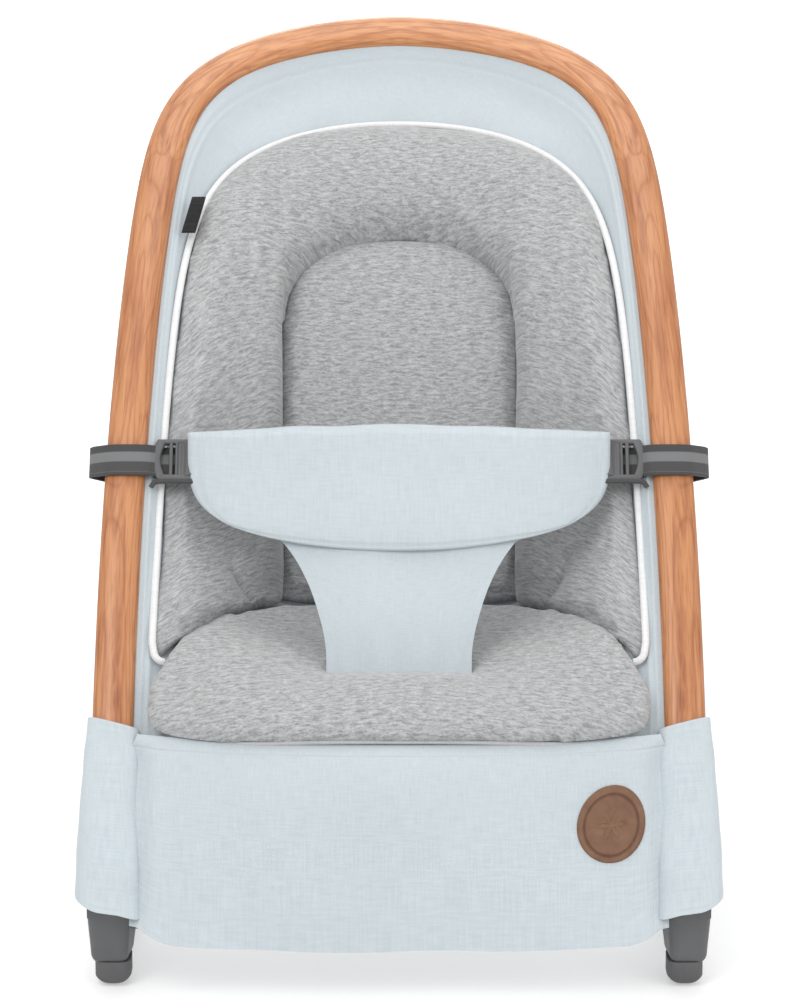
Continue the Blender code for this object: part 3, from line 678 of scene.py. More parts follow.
def bolster_flat(u, v):
    """Where a bolster point lies: u runs from tip to tip over the top, v from the outer edge in."""
    i = min(round(abs(u - 0.5) * 2 * bolster_count), bolster_count)
    outer = Vector(bolster_edge[bolster_count - i])
    inner = Vector(bolster_hole[bolster_count - i])
    across, along = outer + (inner - outer) * v
    tip = max(1 - (bolster_count - i) / (0.032 * bolster_count), 0.0) ** 2 * ease(0.25, 0.0, v)
    across -= 0.0070 * tip
    along += 0.0025 * tip
    return (across if u >= 0.5 else -across), along, (bolster_count - i) / bolster_count


def bolster_shape(u, v, front):
    across, along, climb = bolster_flat(u, v)
    end = 0.62 + 0.38 * ease(0.0, 0.07, climb)
    lift = smooth_value(BOLSTER_RISE, v) * end if front else 0.0015
    lift += front * wrinkle(across, along, 0.3, 18.0, 0.0030) * end
    return place(across, along, sling_depth(across, along) - lift)


def fold(co, across, along, lean, length, width, depth):
    """A soft crease: pushes points back along a short line on the pad."""
    x, s, behind = unplace(co)
    du, dv = x - across, s - along
    run = du * math.cos(lean) + dv * math.sin(lean)
    off = dv * math.cos(lean) - du * math.sin(lean)
    push = depth * math.exp(-(off / width) ** 2) * ease(length, 0.25 * length, abs(run))
    return place(x, s, behind + push)


def settle_bolster(co):
    for side in (-1, 1):
        co = fold(co, side * 0.112, 0.245, side * 0.9, 0.030, 0.0035, 0.005)
        co = fold(co, side * 0.123, 0.262, side * 1.25, 0.024, 0.003, 0.0035)
    return on_sling(0.0012)(co)


def stuffed(name, bm, shift, replaced):
    pattern_uv(bm, shift)
    piece = finish_piece(bm, name, "seat", grey_jersey, smooth=180)
    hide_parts(replaced)
    return piece


stuffed("head_bolster", puff(pad_grid(2 * bolster_count, 22, bolster_shape), 0.0042, 4.0, 0.0055,
                             settle_bolster),
        lambda x, s: 0.8 * max(abs(x) - 0.075, 0.0) * ease(0.64, 0.36, s), "bolster_pad")


def panel_shape(u, v, front):
    along = PANEL_FOOT + (PANEL_TOP + 0.008 - PANEL_FOOT) * (1 - (1 - v) ** 1.5)
    across = (2 * u - 1) * panel_width(along, PANEL_HALF_WIDTH + 0.008, PANEL_TOP + 0.0085)
    edge = (1 - abs(2 * u - 1) ** 8) * (1 - v ** 14)
    crown = 0.5 + 0.5 * math.cos(math.pi / 2 * (2 * u - 1))
    lift = 0.004 + 0.012 * crown * max(edge, 0.0) ** 0.5 if front else 0.0015
    return place(across, along, sling_depth(across, along) - lift)


def settle_panel(co):
    co = fold(co, -0.018, 0.508, 0.75, 0.022, 0.003, 0.0014)
    return on_sling(0.0012)(fold(co, 0.066, 0.545, -0.7, 0.020, 0.003, 0.0020))


stuffed("back_panel", puff(pad_grid(40, 60, panel_shape), 0.0045, 4.0, 0.004, settle_panel),
        lambda x, s: 0.0, "back_pad")

SEAT_POWERS = (5.0, 3.4)
SEAT_MIDDLE = 0.165
SEAT_FRONT = 0.0870
SEAT_REAR = 0.262


def round_square(u, v, power_across, power_along):
    """Spreads a square grid, -1 to 1 both ways, over a rounded rectangle of the same size."""
    x = u * math.sqrt(1 - v * v / 2)
    y = v * math.sqrt(1 - u * u / 2)
    reach = math.hypot(x, y)
    if reach * reach < 1e-9:
        return 0.0, 0.0
    cx, cy = abs(x) / reach, abs(y) / reach
    corner = last_true(lambda r: (r * cx) ** power_across + (r * cy) ** power_along < 1, 1.0, 1.5)
    grow = 1 + (corner - 1) * reach ** 4
    return x * grow, y * grow


SEAT_SIDES = [(0.087, 0.1890), (0.135, 0.1890), (0.160, 0.1795), (0.190, 0.1680), (0.230, 0.1530),
              (0.270, 0.1350)]


def seat_flat(u, v):
    x, y = round_square(2 * u - 1, 2 * v - 1, *SEAT_POWERS)
    along = SEAT_MIDDLE + y * (SEAT_REAR - SEAT_MIDDLE if y > 0 else SEAT_MIDDLE - SEAT_FRONT)
    across = x * smooth_value(SEAT_SIDES, along)
    return across, along, max(abs(x) ** 4 + abs(y) ** 4, 0.0)


def seat_shape(u, v, front):
    across, along, out = seat_flat(u, v)
    crown = max(1 - out ** 1.6, 0.0) ** 0.5
    lift = 0.0055 + 0.0195 * crown if front else 0.0015 + 0.002 * out
    return place(across, along, sling_depth(across, along) - lift)


def settle_seat(co):
    x, s, behind = unplace(co)
    beside = math.exp(-((abs(x) - 0.064) / 0.020) ** 2) * math.exp(-((s - 0.166) / 0.024) ** 2)
    under = ease(0.066, 0.045, abs(x)) * math.exp(-((s - 0.164) / 0.010) ** 2)
    dip = 0.0095 * beside + 0.012 * under + wrinkle(x, s, 0.7, 16.0, 0.0022)
    return on_sling(0.0012)(place(x, s, behind + dip))


seat_cushion = stuffed("seat_cushion", puff(pad_grid(64, 44, seat_shape), 0.0042, 4.0, 0.0050, settle_seat),
                       lambda x, s: 0.10 * abs(x), "seat_pad")

# ----------------------------------------
# Piping: a white cord sewn into the outer edge of the bolster, and a pale one along the front
# edge of the seat pad. Both are cloth tape folded round a thin filler.

piping_cloth = woven("piping_cloth", (0.74, 0.74, 0.735), (0.66, 0.66, 0.66), threads=1800.0)
pale_piping = woven("pale_piping", (0.47, 0.47, 0.475), (0.40, 0.40, 0.405), threads=1800.0)

piping_flat = []
for k in range(2 * bolster_count + 1):
    across, along, climb = bolster_flat(k / (2 * bolster_count), 0.0)
    if climb > 0.012:
        piping_flat.append((across - math.copysign(0.0012, across) * ease(0.0, 0.05, abs(across)), along))
tip = piping_flat[-1]
curl = [(tip[0] - 0.0075 * (1 - math.cos(a)), tip[1] - 0.0085 * math.sin(a)) for a in (0.4, 0.8, 1.2, 1.6)]
piping_flat = [(-x, s) for x, s in reversed(curl)] + piping_flat + curl
piping_path = [place(x, s, sling_depth(x, s) - 0.0062) for x, s in piping_flat]
sweep("bolster_piping", "seat", piping_cloth, piping_path,
      lambda i: behind_direction(piping_flat[i][1]), 0.0028, 0.0026, sides=10)

SEAM_INSET = 0.0050
seat_piping_path = []
for k in range(81):
    angle = math.pi * (1.19 + 0.62 * k / 80)
    cx, cy = math.cos(angle), math.sin(angle)
    reach = last_true(lambda r: abs(cx * r) ** SEAT_POWERS[0] + abs(cy * r) ** SEAT_POWERS[1] < 1, 0.5, 1.5)
    along = SEAT_MIDDLE + cy * reach * (SEAT_MIDDLE - SEAT_FRONT - SEAM_INSET)
    across = cx * reach * (smooth_value(SEAT_SIDES, along) - SEAM_INSET)
    seat_piping_path.append(place(across, along, sling_depth(across, along) - 0.0062))
sweep("seat_piping", "seat", pale_piping, seat_piping_path, lambda i: behind_direction(0.1),
      0.0018, 0.0018, sides=10)

# ----------------------------------------
# Front skirt: the sling's blue cloth carried over a hidden rod and down to a loose hem, with a
# stitched line just under the seat pad.

SKIRT_HALF_WIDTH = 0.1930


def bent_line(a, b, c, t):
    return a * (1 - t) ** 2 + b * 2 * t * (1 - t) + c * t ** 2


def skirt_line(x, t):
    bow = 1 - (abs(x) / SKIRT_HALF_WIDTH) ** 2.4
    top = Vector((x, -0.2255 - 0.0470 * bow, 0.1680 + 0.0066 * bow))
    knee = Vector((x, -0.2400 - 0.0620 * bow, 0.1600 + 0.0180 * bow))
    side = ease(0.160, 0.192, abs(x))
    hem = Vector((x, -0.3205 - 0.0035 * bow, 0.0375 + 0.0060 * (1 - bow) + 0.0080 * side))
    return bent_line(top, knee, hem, t)


def skirt_point(u, v):
    t = v ** 1.35
    x = (2 * u - 1) * (SKIRT_HALF_WIDTH - 0.0040 * (1 - ease(0.0, 0.30, t)) - 0.0012 * ease(0.5, 1.0, t))
    point = skirt_line(x, t)
    groove = math.exp(-((t - 0.215) / 0.014) ** 2)
    soft = wrinkle(x, t * 0.12, 0.0, 16.0, 0.0022) * ease(0.12, 0.5, t)
    sag = 0.0018 * math.sin(x * 31.0 + 0.6) * ease(0.6, 1.0, t)
    tuck = 0.0105 * ease(0.174, 0.190, abs(x)) * ease(0.08, 0.40, t)
    return point + Vector((0.0, 0.0008 * groove + soft + sag + tuck,
                           0.0006 * math.sin(x * 55.0) * ease(0.8, 1.0, t)))


skirt = cloth_sheet("front_skirt_cloth", "seat", blue_cloth, 96, 190, skirt_point, 0.0015,
                    0.40, 0.16)
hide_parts("front_skirt")

# ----------------------------------------
# Boots: sleeves of the same blue cloth round the hoop's two ends, seamed to the skirt in front
# and cut higher behind, so that the legs are free when the seat folds.

BOOT_DEEPEST = 0.0245


def boot_point(side):
    def shape(u, v):
        angle = 2 * math.pi * (u % 1.0)
        forward = abs(min(math.sin(angle), 0.0)) ** 0.62
        low = -0.0325 + 0.0175 * (0.5 + 0.5 * math.cos(angle)) + 0.62 * BOOT_DEEPEST * (1 - forward)
        low += 0.030 * ease(0.10, 0.75, math.sin(angle))
        along = low + (0.1200 - low) * v
        outer = smooth_value([(-0.03, 0.2322), (0.02, 0.2312), (0.07, 0.2290), (0.124, 0.2254)], along)
        inner = smooth_value([(-0.03, 0.1825), (0.02, 0.1835), (0.07, 0.1860), (0.124, 0.1875)], along)
        front = smooth_value([(-0.03, BOOT_DEEPEST), (0.005, 0.0225), (0.03, 0.0165), (0.09, 0.0115),
                              (0.124, 0.0098)],
                             along)
        behind = 0.0125 + 0.004 * ease(0.04, -0.02, along)
        c, s = soft_power(math.cos(angle), 0.55), soft_power(math.sin(angle), 0.62)
        across = (outer + inner) / 2 + (outer - inner) / 2 * c
        depth = s * (behind if s > 0 else front)
        along += 0.0050 * v ** 8 * c
        crease = wrinkle(across * 1.2, along * 0.8, depth, 44.0, 0.0016) * ease(1.0, 0.8, v)
        return place(side * (across + crease * 0.7 * c), along, depth + crease * s)
    return shape


for side, label in BOTH_SIDES:
    boot = cloth_sheet(f"boot_cloth_{label}", "seat", blue_cloth, 56, 44, boot_point(side),
                       0.0014, 0.12, 0.15)
    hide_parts(f"boot_{label}")

# ----------------------------------------
# Badge and label: a debossed brown leather disc stitched to the skirt, and a small black woven
# loop caught in the seam beside the head bolster. Both are plain, and the disc has a simple ring motif.

BADGE_AT = Vector((0.151, 0.0, 0.1195))
BADGE_RADIUS = 0.0248
BADGE_RING = 0.0196


def skirt_y(x, z):
    return skirt_line(x, last_true(lambda t: skirt_line(x, t).z > z, 0.0, 1.0)).y


def brown_leather():
    material, tree, shader = new_finish("brown_leather", 0.55, specular=0.35)
    cells = add_node(tree, "ShaderNodeTexVoronoi", {"Scale": 900.0}, feature="DISTANCE_TO_EDGE")
    tree.links.new(stretched(tree, "Object"), cells.inputs["Vector"])
    grain = math_value(tree, "MINIMUM", math_value(tree, "MULTIPLY", cells.outputs["Distance"], 6.0), 1.0)
    patch = noise_value(tree, stretched(tree, "Object"), 95.0, 4.0, 0.6)
    colour = ramp(tree, patch, [(0.30, (0.140, 0.066, 0.036)), (0.70, (0.190, 0.100, 0.057))])
    split = split_axes(tree, stretched(tree, "UV"))
    ring = math_value(tree, "ABSOLUTE", math_value(tree, "SUBTRACT", split["Y"], BADGE_RING))
    burnt = ramp(tree, math_value(tree, "MULTIPLY", ring, 500.0), [(0.25, (0.62, 0.55, 0.50)), (0.75, WHITE)])
    colour = mix_colour(tree, 1.0, colour, burnt, "MULTIPLY")
    paint(tree, shader, colour)
    bump(tree, shader, grain, 0.22, 0.0003)
    return material


def badge_point(u, v):
    angle, radius = 2 * math.pi * (u % 1.0), BADGE_RADIUS * (1 - (1 - v) ** 1.2) if v > 0 else 0.0
    x = BADGE_AT.x + radius * math.cos(angle)
    z = BADGE_AT.z + radius * math.sin(angle)
    raised = 0.0018 * ease(BADGE_RADIUS, BADGE_RADIUS - 0.0015, radius) + 0.0006
    ring = 0.0005 * math.exp(-((radius - BADGE_RING) / 0.0007) ** 2)
    petals = 0.0105 * (0.62 + 0.38 * math.cos(6 * angle))
    motif = 0.00045 * math.exp(-((radius - petals) / 0.0008) ** 2)
    return Vector((x, skirt_y(x, z) - raised + ring + motif, z))


badge_mesh = flat_grid(120, 60)
badge_layer = badge_mesh.loops.layers.uv.active
for vert in badge_mesh.verts:
    u, v = vert.co.x + 0.5, vert.co.y + 0.5
    for loop in vert.link_loops:
        loop[badge_layer].uv = (u, BADGE_RADIUS * (1 - (1 - v) ** 1.2))
    vert.co = badge_point(u, v)
bmesh.ops.remove_doubles(badge_mesh, verts=badge_mesh.verts, dist=0.000005)
bmesh.ops.recalc_face_normals(badge_mesh, faces=badge_mesh.faces)
bmesh.ops.solidify(badge_mesh, geom=badge_mesh.faces, thickness=0.0012)
badge = finish_piece(badge_mesh, "leather_disc", "seat", brown_leather())
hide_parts("leather_badge")

black_weave = woven("black_weave", (0.020, 0.020, 0.021), (0.010, 0.010, 0.011), threads=2200.0, sheen=0.1)


LABEL_ALONG = 0.5500


def label_point(u, v):
    turn = 2 * math.pi * (v % 1.0)
    across = -0.1580 + 0.0052 * (2 * u - 1)
    along = LABEL_ALONG + 0.0170 * soft_power(math.cos(turn), 0.35)
    across += 0.22 * (along - LABEL_ALONG)
    return place(across, along, -0.0062 + 0.0012 * math.sin(turn) + 0.05 * (LABEL_ALONG - along))


label = cloth_sheet("side_loop_label", "seat", black_weave, 10, 48, label_point, 0.0007, 0.010,
                    0.06)
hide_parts("side_label")

# ----------------------------------------
# Restraint: a T of the blue cloth. A padded flap lies across the child's belly in front of a
# strap that widens under it and goes down through a slot in the seat pad.

RESTRAINT_SIDE = [(0.190, -0.1960), (0.2115, -0.1865), (0.240, -0.172), (0.275, -0.150), (0.325, -0.122),
                  (0.366, -0.103)]
FLAP_HALF_WIDTH = 0.1570
FLAP_TOP = 0.3675
FLAP_DROP = 0.0840


def restraint_y(x, z):
    return smooth_value(RESTRAINT_SIDE, z) + 0.034 * (x / 0.155) ** 2


def flap_point(u, v, front):
    x, q = round_square(2 * u - 1, v, 2.0, 4.5)
    x *= FLAP_HALF_WIDTH
    z = FLAP_TOP - FLAP_DROP * q - 0.0125 * (x / 0.155) ** 2 * (1 - 0.5 * q)
    z += 0.0016 * noise.noise(Vector((x * 24.0, 1.7, 0.0))) * (1 - q)
    rim = max(abs(2 * u - 1), v)
    crown = max(1 - rim ** 8, 0.0) ** 0.5
    hem = ease(0.0, 0.05, v)
    gathers = 0.0010 * noise.noise(Vector((x * 70.0, q * 2.0, 0.4))) * ease(0.35, 0.0, q)
    lift = 0.0042 + 0.0052 * crown * (0.35 + 0.65 * hem) + wrinkle(x, z, 0.2, 17.0, 0.0024) + gathers
    lift -= 0.0009 * math.exp(-((rim - 0.955) / 0.012) ** 2)
    if not front:
        lift = 0.0030 - 0.0012 * crown
    return Vector((x, restraint_y(x, z) - lift, z))


flap = finish_piece(pad_grid(120, 60, flap_point), "belly_flap", "restraint", blue_cloth,
                    smooth=180)
flap_layer = flap.data.uv_layers.active.data
for loop, uv in zip(flap.data.loops, flap_layer):
    point = flap.data.vertices[loop.vertex_index].co
    uv.uv = (point.x, point.z)
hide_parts("restraint_panel")

STRAP_WIDTHS = [(0.190, 0.0530), (0.218, 0.0535), (0.238, 0.0580), (0.263, 0.0685), (0.284, 0.0840),
                (0.291, 0.0960),
                (0.299, 0.1240), (0.310, 0.1380), (0.325, 0.1400)]


def crotch_point(u, v):
    z = 0.1915 + (0.322 - 0.1915) * v
    half = smooth_value(STRAP_WIDTHS, z)
    x = (2 * u - 1) * half
    out = abs(2 * u - 1)
    foot = ease(0.235, 0.205, z)
    crease = 0.0011 * math.sin(x * 210.0 + 1.1) * foot * ease(1.0, 0.6, out)
    crease = crease + wrinkle(x, z, 0.9, 22.0, 0.0018)
    return Vector((x, restraint_y(x, z) - 0.0016 * (1 - out ** 4) + crease,
                   z + 0.001 * foot * math.sin(x * 60.0)))


crotch = cloth_sheet("crotch_strap", None, blue_cloth, 64, 60, crotch_point, 0.0020, 0.28,
                     0.16)
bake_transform(crotch)

# ----------------------------------------
# Side straps: black webbing with a grey stripe, looped round the hoop at each side and threaded
# through a moulded ladder-lock buckle, whose ribbed plate is sewn under the end of the flap.

STRAP_ALONG = 0.331
STRAP_HALF = 0.0126


def webbing():
    material, tree, shader = new_finish("webbing", 0.62, specular=0.4, sheen=0.2)
    split = split_axes(tree, stretched(tree, "UV"))
    place_across = math_value(tree, "MULTIPLY", split["Y"], 1.0 / (2 * STRAP_HALF))
    stripe = ramp(tree, place_across, [(0.075, (0.030, 0.030, 0.031)), (0.095, (0.085, 0.086, 0.088)),
                                       (0.115, (0.040, 0.040, 0.041)), (0.42, (0.040, 0.040, 0.041)),
                                       (0.45, (0.145, 0.147, 0.150)), (0.74, (0.145, 0.147, 0.150)),
                                       (0.77, (0.032, 0.032, 0.033))])
    weave = use_group(tree, plain_weave, **{"Threads per metre": 1500.0})
    tree.links.new(stretched(tree, "UV"), weave.inputs["Vector"])
    shade = ramp(tree, weave.outputs["Height"], [(0.3, (0.78, 0.78, 0.78)), (1.2, WHITE)])
    paint(tree, shader, mix_colour(tree, 0.7, stripe, shade, "MULTIPLY"))
    bump(tree, shader, weave.outputs["Height"], 0.45, 0.0005)
    return material


def moulded(name, colour, roughness=0.48, grain=1400.0, strength=0.10):
    material, tree, shader = new_finish(name, roughness, specular=0.45)
    spread = noise_value(tree, stretched(tree, "Object"), 28.0, 3.0, 0.55)
    fine = noise_value(tree, stretched(tree, "Object"), grain, 2.0, 0.6)
    dark = tuple(c * 0.86 for c in colour)
    paint(tree, shader, ramp(tree, spread, [(0.35, dark), (0.65, colour)]),
          ramp(tree, fine, [(0.3, (roughness - 0.07,) * 3), (0.7, (roughness + 0.09,) * 3)]))
    bump(tree, shader, fine, strength, 0.0003)
    return material


strap_web = webbing()
graphite = moulded("graphite_plastic", (0.098, 0.099, 0.102))
strap_centre = taper_width(STRAP_ALONG)
STRAP_LOOP = [(0.1785, -0.0020), (0.1815, -0.0050), (strap_centre - 0.017, -0.0084),
              (strap_centre - 0.009, -0.0102), (strap_centre + 0.004, -0.0104),
              (strap_centre + 0.013, -0.0084), (strap_centre + 0.020, -0.0040),
              (strap_centre + 0.0265, 0.0012), (strap_centre + 0.0268, 0.0030),
              (strap_centre + 0.019, 0.0072), (strap_centre + 0.011, 0.0108),
              (strap_centre - 0.004, 0.0114), (strap_centre - 0.014, 0.0096),
              (0.1840, 0.0050), (0.1790, 0.0014)]


def along_spline(points, steps):
    """A closed smooth line through the points."""
    line = []
    count = len(points)
    for k in range(count):
        a, b, c, d = (Vector(points[(k + n) % count]) for n in (-1, 0, 1, 2))
        for step in range(steps):
            t = step / steps
            line.append(0.5 * (2 * b + (c - a) * t + (2 * a - 5 * b + 4 * c - d) * t * t
                               + (3 * b - a - 3 * c + d) * t ** 3))
    return line + [line[0]]


strap_line = along_spline(STRAP_LOOP, 8)


def strap_point(side):
    def shape(u, v):
        across, depth = strap_line[round(u * (len(strap_line) - 1))]
        lift = 0.34 * min(depth, 0.0)
        return place(side * across, STRAP_ALONG + lift + (2 * v - 1) * STRAP_HALF, depth)
    return shape


def buckle_bar(name, side, ends, half_width, half_depth, bulge=0.0):
    (x0, s0), (x1, s1) = ends
    flat = [(x0 + (x1 - x0) * k / 12 + bulge * math.sin(math.pi * k / 12),
             s0 + (s1 - s0) * k / 12) for k in range(13)]
    return sweep(name, "seat", graphite, [place(side * x, s, -0.0022) for x, s in flat],
                 lambda i: behind_direction(STRAP_ALONG), half_width, half_depth, sides=16, power=4.0)


def plate_shape(side):
    def shape(u, v, front):
        across = 0.1648 - 0.0260 * u
        tall = 0.0148 - 0.0030 * u
        ribs = 0.0006 * math.sin(u * 2 * math.pi * 4.5) * ease(1.0, 0.9, abs(2 * v - 1))
        depth = -0.0036 - ribs if front else -0.0004
        return place(side * across, STRAP_ALONG + (2 * v - 1) * tall, depth - 0.0060 * u)
    return shape


for side, label in BOTH_SIDES:
    strap = cloth_sheet(f"strap_loop_{label}", "seat", strap_web, len(strap_line) - 1, 14,
                        strap_point(side), 0.0013, 0.14, 2 * STRAP_HALF)
    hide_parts(f"strap_{label}")
    low, high = STRAP_ALONG - 0.0150, STRAP_ALONG + 0.0150
    bars = [buckle_bar(f"buckle_outer_bar_{label}", side, ((0.1772, low), (0.1772, high)), 0.0033, 0.0028,
                       0.0036),
            buckle_bar(f"buckle_top_bar_{label}", side, ((0.1795, high), (0.1570, high)), 0.0018, 0.0026),
            buckle_bar(f"buckle_bottom_bar_{label}", side, ((0.1795, low), (0.1550, low)), 0.0022, 0.0026),
            buckle_bar(f"buckle_middle_bar_{label}", side, ((0.1697, low), (0.1697, high)), 0.0014, 0.0022),
            buckle_bar(f"buckle_inner_bar_{label}", side, ((0.1655, low), (0.1655, high)), 0.0011, 0.0024)]
    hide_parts(f"buckle_frame_{label}")
    plate = finish_piece(pad_grid(40, 12, plate_shape(side)), f"buckle_plate_{label}", "restraint", graphite,
                         smooth=40)
    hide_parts(f"buckle_tongue_{label}")
    cloth_sheet(f"strap_end_{label}", "seat", strap_web, 12, 8,
                lambda u, v: place(side * (0.1835 - 0.0330 * u), STRAP_ALONG + (2 * v - 1) * STRAP_HALF,
                                   0.0012), 0.0012, 0.033, 2 * STRAP_HALF)
    tail = [place(side * x, STRAP_ALONG - 0.0188 + drop, -0.0040) for x, drop in
            ((0.1838, -0.0046), (0.1822, -0.0012), (0.1790, 0.0002), (0.1700, 0.0006), (0.1580, 0.0004),
             (0.1480, 0.0))]
    sweep(f"strap_tail_{label}", "seat", strap_web, tail, lambda i: behind_direction(STRAP_ALONG),
          0.0019, 0.0012, sides=12, power=3.5)

# ----------------------------------------
# Front legs and feet: moulded graphite legs that taper to rounded toes, each slotted at its head
# for the eye of the hoop, on a rubber foot with a rounded sole.

LEG_X = 0.2065
LEG_LOW = 0.0165
LEG_BLOCK_TOP = 0.0585


def leg_block(side):
    """The leg below its slot: an upright block, narrower at its rounded toe and wider behind inside."""
    bm = flat_grid(48, 26)
    for vert in bm.verts:
        turn = 2 * math.pi * (round((vert.co.x + 0.5) * 48) % 48) / 48
        t = (vert.co.y + 0.5) ** 1.6
        z = LEG_LOW + (LEG_BLOCK_TOP - LEG_LOW) * t
        toe = max(1 - (z - LEG_LOW) / 0.0075, 0.0)
        shrink = 0.0062 * (1 - math.sqrt(1 - toe * toe))
        c, s = soft_power(math.cos(turn), 0.36), soft_power(math.sin(turn), 0.36)
        half = 0.0160 - 0.0024 * ease(1.0, 0.0, t) - shrink
        inner = 0.0050 * ease(-0.6, 0.9, s) * (0.4 + 0.6 * t) if c < 0 else 0.0
        across = LEG_X + 0.0005 + c * (half + inner)
        vert.co = Vector((side * across, pivot.y + s * (0.0180 - 0.0020 * (1 - t) - shrink), z))
    bmesh.ops.remove_doubles(bm, verts=bm.verts, dist=0.00001)
    bmesh.ops.holes_fill(bm, edges=[e for e in bm.edges if e.is_boundary], sides=0)
    return bm


def round_cheek(bm, side, x0, x1, radius):
    """A rounded upright cheek beside the slot, from the block up round the pivot pin."""
    made = bmesh.ops.create_circle(bm, cap_ends=True, segments=48, radius=radius)
    ring = made["verts"]
    bmesh.ops.rotate(bm, verts=ring, cent=(0, 0, 0), matrix=Matrix.Rotation(math.pi / 2, 3, "Y"))
    for vert in ring:
        if vert.co.z < 0:
            vert.co.z = -0.017 if abs(vert.co.y) < radius * 0.999 else vert.co.z
    bmesh.ops.translate(bm, verts=ring, vec=(side * x0, pivot.y, pivot.z))
    faces = [f for f in bm.faces if all(v in ring for v in f.verts)]
    skin = bmesh.ops.extrude_face_region(bm, geom=faces, use_keep_orig=True)
    moved = [v for v in skin["geom"] if isinstance(v, bmesh.types.BMVert)]
    bmesh.ops.translate(bm, verts=moved, vec=(side * (x1 - x0), 0, 0))


def foot_point(side):
    def shape(u, v, front):
        x, y = round_square(2 * u - 1, 2 * v - 1, 4.0, 4.0)
        sole = 0.0070 * abs(x) ** 3.2 + 0.0040 * abs(y) ** 4
        return Vector((side * (LEG_X - 0.0015) + 0.0130 * x, pivot.y + 0.0155 * y, 0.0185 if front else sole))
    return shape


rubber = moulded("rubber", (0.105, 0.105, 0.108), roughness=0.72, grain=900.0, strength=0.2)
for side, label in BOTH_SIDES:
    leg = leg_block(side)
    round_cheek(leg, side, LEG_X - 0.0160, LEG_X - 0.0066, 0.0180)
    round_cheek(leg, side, LEG_X + 0.0066, LEG_X + 0.0160, 0.0180)
    leg_piece = finish_piece(leg, f"leg_{label}", "base_frame", graphite, smooth=40)
    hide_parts(f"front_leg_{label}")
    foot = finish_piece(pad_grid(24, 24, foot_point(side)), f"foot_{label}", "base_frame", rubber,
                        smooth=50)
    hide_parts(f"front_foot_{label}")

# ----------------------------------------
# Base frame: one powder-coated steel tube bent into a U on the floor, a cross tube between the
# legs, moulded racks inside the rails, and rubber feet clipped on behind.

RAIL_RADIUS = 0.009
RAIL_Z = 0.020
RAIL_REAR_Y = 0.312
RAIL_CORNER = 0.060


def painted_steel():
    material, tree, shader = new_finish("painted_steel", 0.42, specular=0.5, coat=0.15)
    peel = noise_value(tree, stretched(tree, "Object"), 700.0, 2.0, 0.5)
    spread = noise_value(tree, stretched(tree, "Object"), 12.0, 3.0, 0.6)
    paint(tree, shader, ramp(tree, spread, [(0.35, (0.098, 0.099, 0.103)), (0.65, (0.125, 0.126, 0.130))]),
          ramp(tree, peel, [(0.3, (0.34,) * 3), (0.7, (0.50,) * 3)]))
    bump(tree, shader, peel, 0.18, 0.0002)
    return material


tube_paint = painted_steel()


def bent_rail():
    side = [Vector((LEG_X, pivot.y + 0.0170, RAIL_Z))]
    side += [Vector((LEG_X, pivot.y + 0.0184 + (RAIL_REAR_Y - RAIL_CORNER - pivot.y - 0.0184) * k / 12,
                     RAIL_Z))
             for k in range(1, 12)]
    for k in range(17):
        angle = math.pi / 2 * k / 16
        side.append(Vector((LEG_X - RAIL_CORNER * (1 - math.cos(angle)),
                            RAIL_REAR_Y - RAIL_CORNER * (1 - math.sin(angle)), RAIL_Z)))
    return side + [Vector((-p.x, p.y, p.z)) for p in reversed(side)]


rail = sweep("base_rail", "base_frame", tube_paint, bent_rail(), upward,
             RAIL_RADIUS, RAIL_RADIUS, sides=24)
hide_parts("base_tube")
cross = sweep("base_cross_bar", "base_frame", tube_paint,
              [(-0.1900 + 0.38 * k / 10, pivot.y + 0.008, 0.044) for k in range(11)], upward,
              0.008, 0.008, sides=24)
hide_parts("front_cross_tube")

# ----------------------------------------
# Strut: a U of steel rod and tube behind the hoop. Its legs hang on pins in clevises clamped to
# the hoop, and its cross tube rests in the racks. The recline lever turns on the cross tube.

STRUT_ALONG = 0.29
strut_top = place(0.0, STRUT_ALONG, 0.024)
strut_foot = Vector((0.0, 0.08, 0.050))
strut_x = taper_width(STRUT_ALONG)
strut_run = (strut_foot - strut_top).normalized()

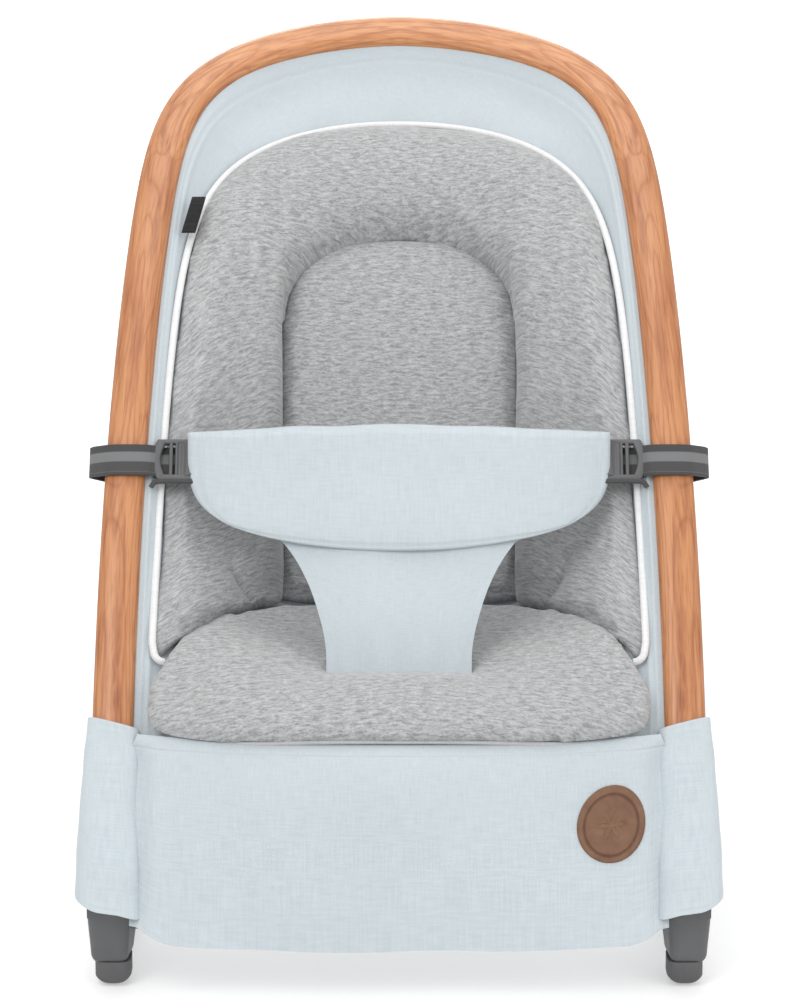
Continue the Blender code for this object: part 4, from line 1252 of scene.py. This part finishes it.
strut_bar = sweep("strut_bar", "strut", tube_paint,
                  [(-0.1960 + 0.392 * k / 12, strut_foot.y, strut_foot.z) for k in range(13)],
                  upward, 0.007, 0.007, sides=24)
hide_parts("strut_cross_tube")
for side, label in BOTH_SIDES:
    start, end = strut_top + strut_run * 0.0100, strut_foot - strut_run * 0.0070
    line = [Vector((side * strut_x, start.y + (end.y - start.y) * k / 10,
                    start.z + (end.z - start.z) * k / 10))
            for k in range(11)]
    rod = sweep(f"strut_rod_{label}", "strut", tube_paint, line, lambda i: Vector((1, 0, 0)),
                0.006, 0.006, sides=20)
    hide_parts(f"strut_leg_{label}")

rod_path = []
for k in range(41):
    across = 0.178 * (2 * k / 40 - 1)
    rod_path.append(place(across, 0.110, sling_depth(across, 0.110) + 0.0095))
front_rod = sweep("skirt_rod", "seat", tube_paint, rod_path, upward, 0.0035, 0.0035,
                  sides=14)
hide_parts("seat_front_rod")


def pocket_point(u, v):
    """The cloth sewn behind the sling as a flat pocket for the rod."""
    turn = math.pi * v
    across = 0.1795 * (2 * u - 1)
    along = 0.110 - 0.0105 * math.cos(turn)
    bulge = math.sin(turn) ** 0.7
    soft = wrinkle(across, along, 0.5, 40.0, 0.0010)
    return place(across, along, sling_depth(across, along) + 0.0016 + 0.0135 * bulge + soft)


pocket = cloth_sheet("rod_pocket", "seat", blue_cloth, 60, 20, pocket_point, 0.0012, 0.35,
                     0.035)

# ----------------------------------------
# Small hardware kept as made: clevises, knuckles, pins, racks, end fittings, the lever with its
# spring, and the rear feet. Each gets the finish of the real material.


def bare_steel():
    material, tree, shader = new_finish("steel", 0.30, metallic=1.0)
    brushed = noise_value(tree, stretched(tree, "Object", (900.0, 60.0, 60.0)), 1.0, 3.0, 0.6)
    paint(tree, shader, ramp(tree, brushed, [(0.3, (0.50, 0.50, 0.51)), (0.7, (0.66, 0.66, 0.67))]),
          ramp(tree, brushed, [(0.3, (0.24,) * 3), (0.7, (0.40,) * 3)]))
    bump(tree, shader, brushed, 0.10, 0.0002)
    return material


steel = bare_steel()
finishes = {"rear_foot": rubber, "recline_rack": graphite, "pivot_pin": steel, "end_fitting": graphite,
            "strut_bracket": graphite, "strut_pin": steel, "strut_end": graphite, "strut_knuckle": graphite}
for stem, finish in finishes.items():
    for label in ("left", "right"):
        frame["nodes"][f"{stem}_{label}"].material_slots[0].material = finish
frame["nodes"]["recline_lever"].material_slots[0].material = graphite
frame["nodes"]["lever_spring"].material_slots[0].material = steel
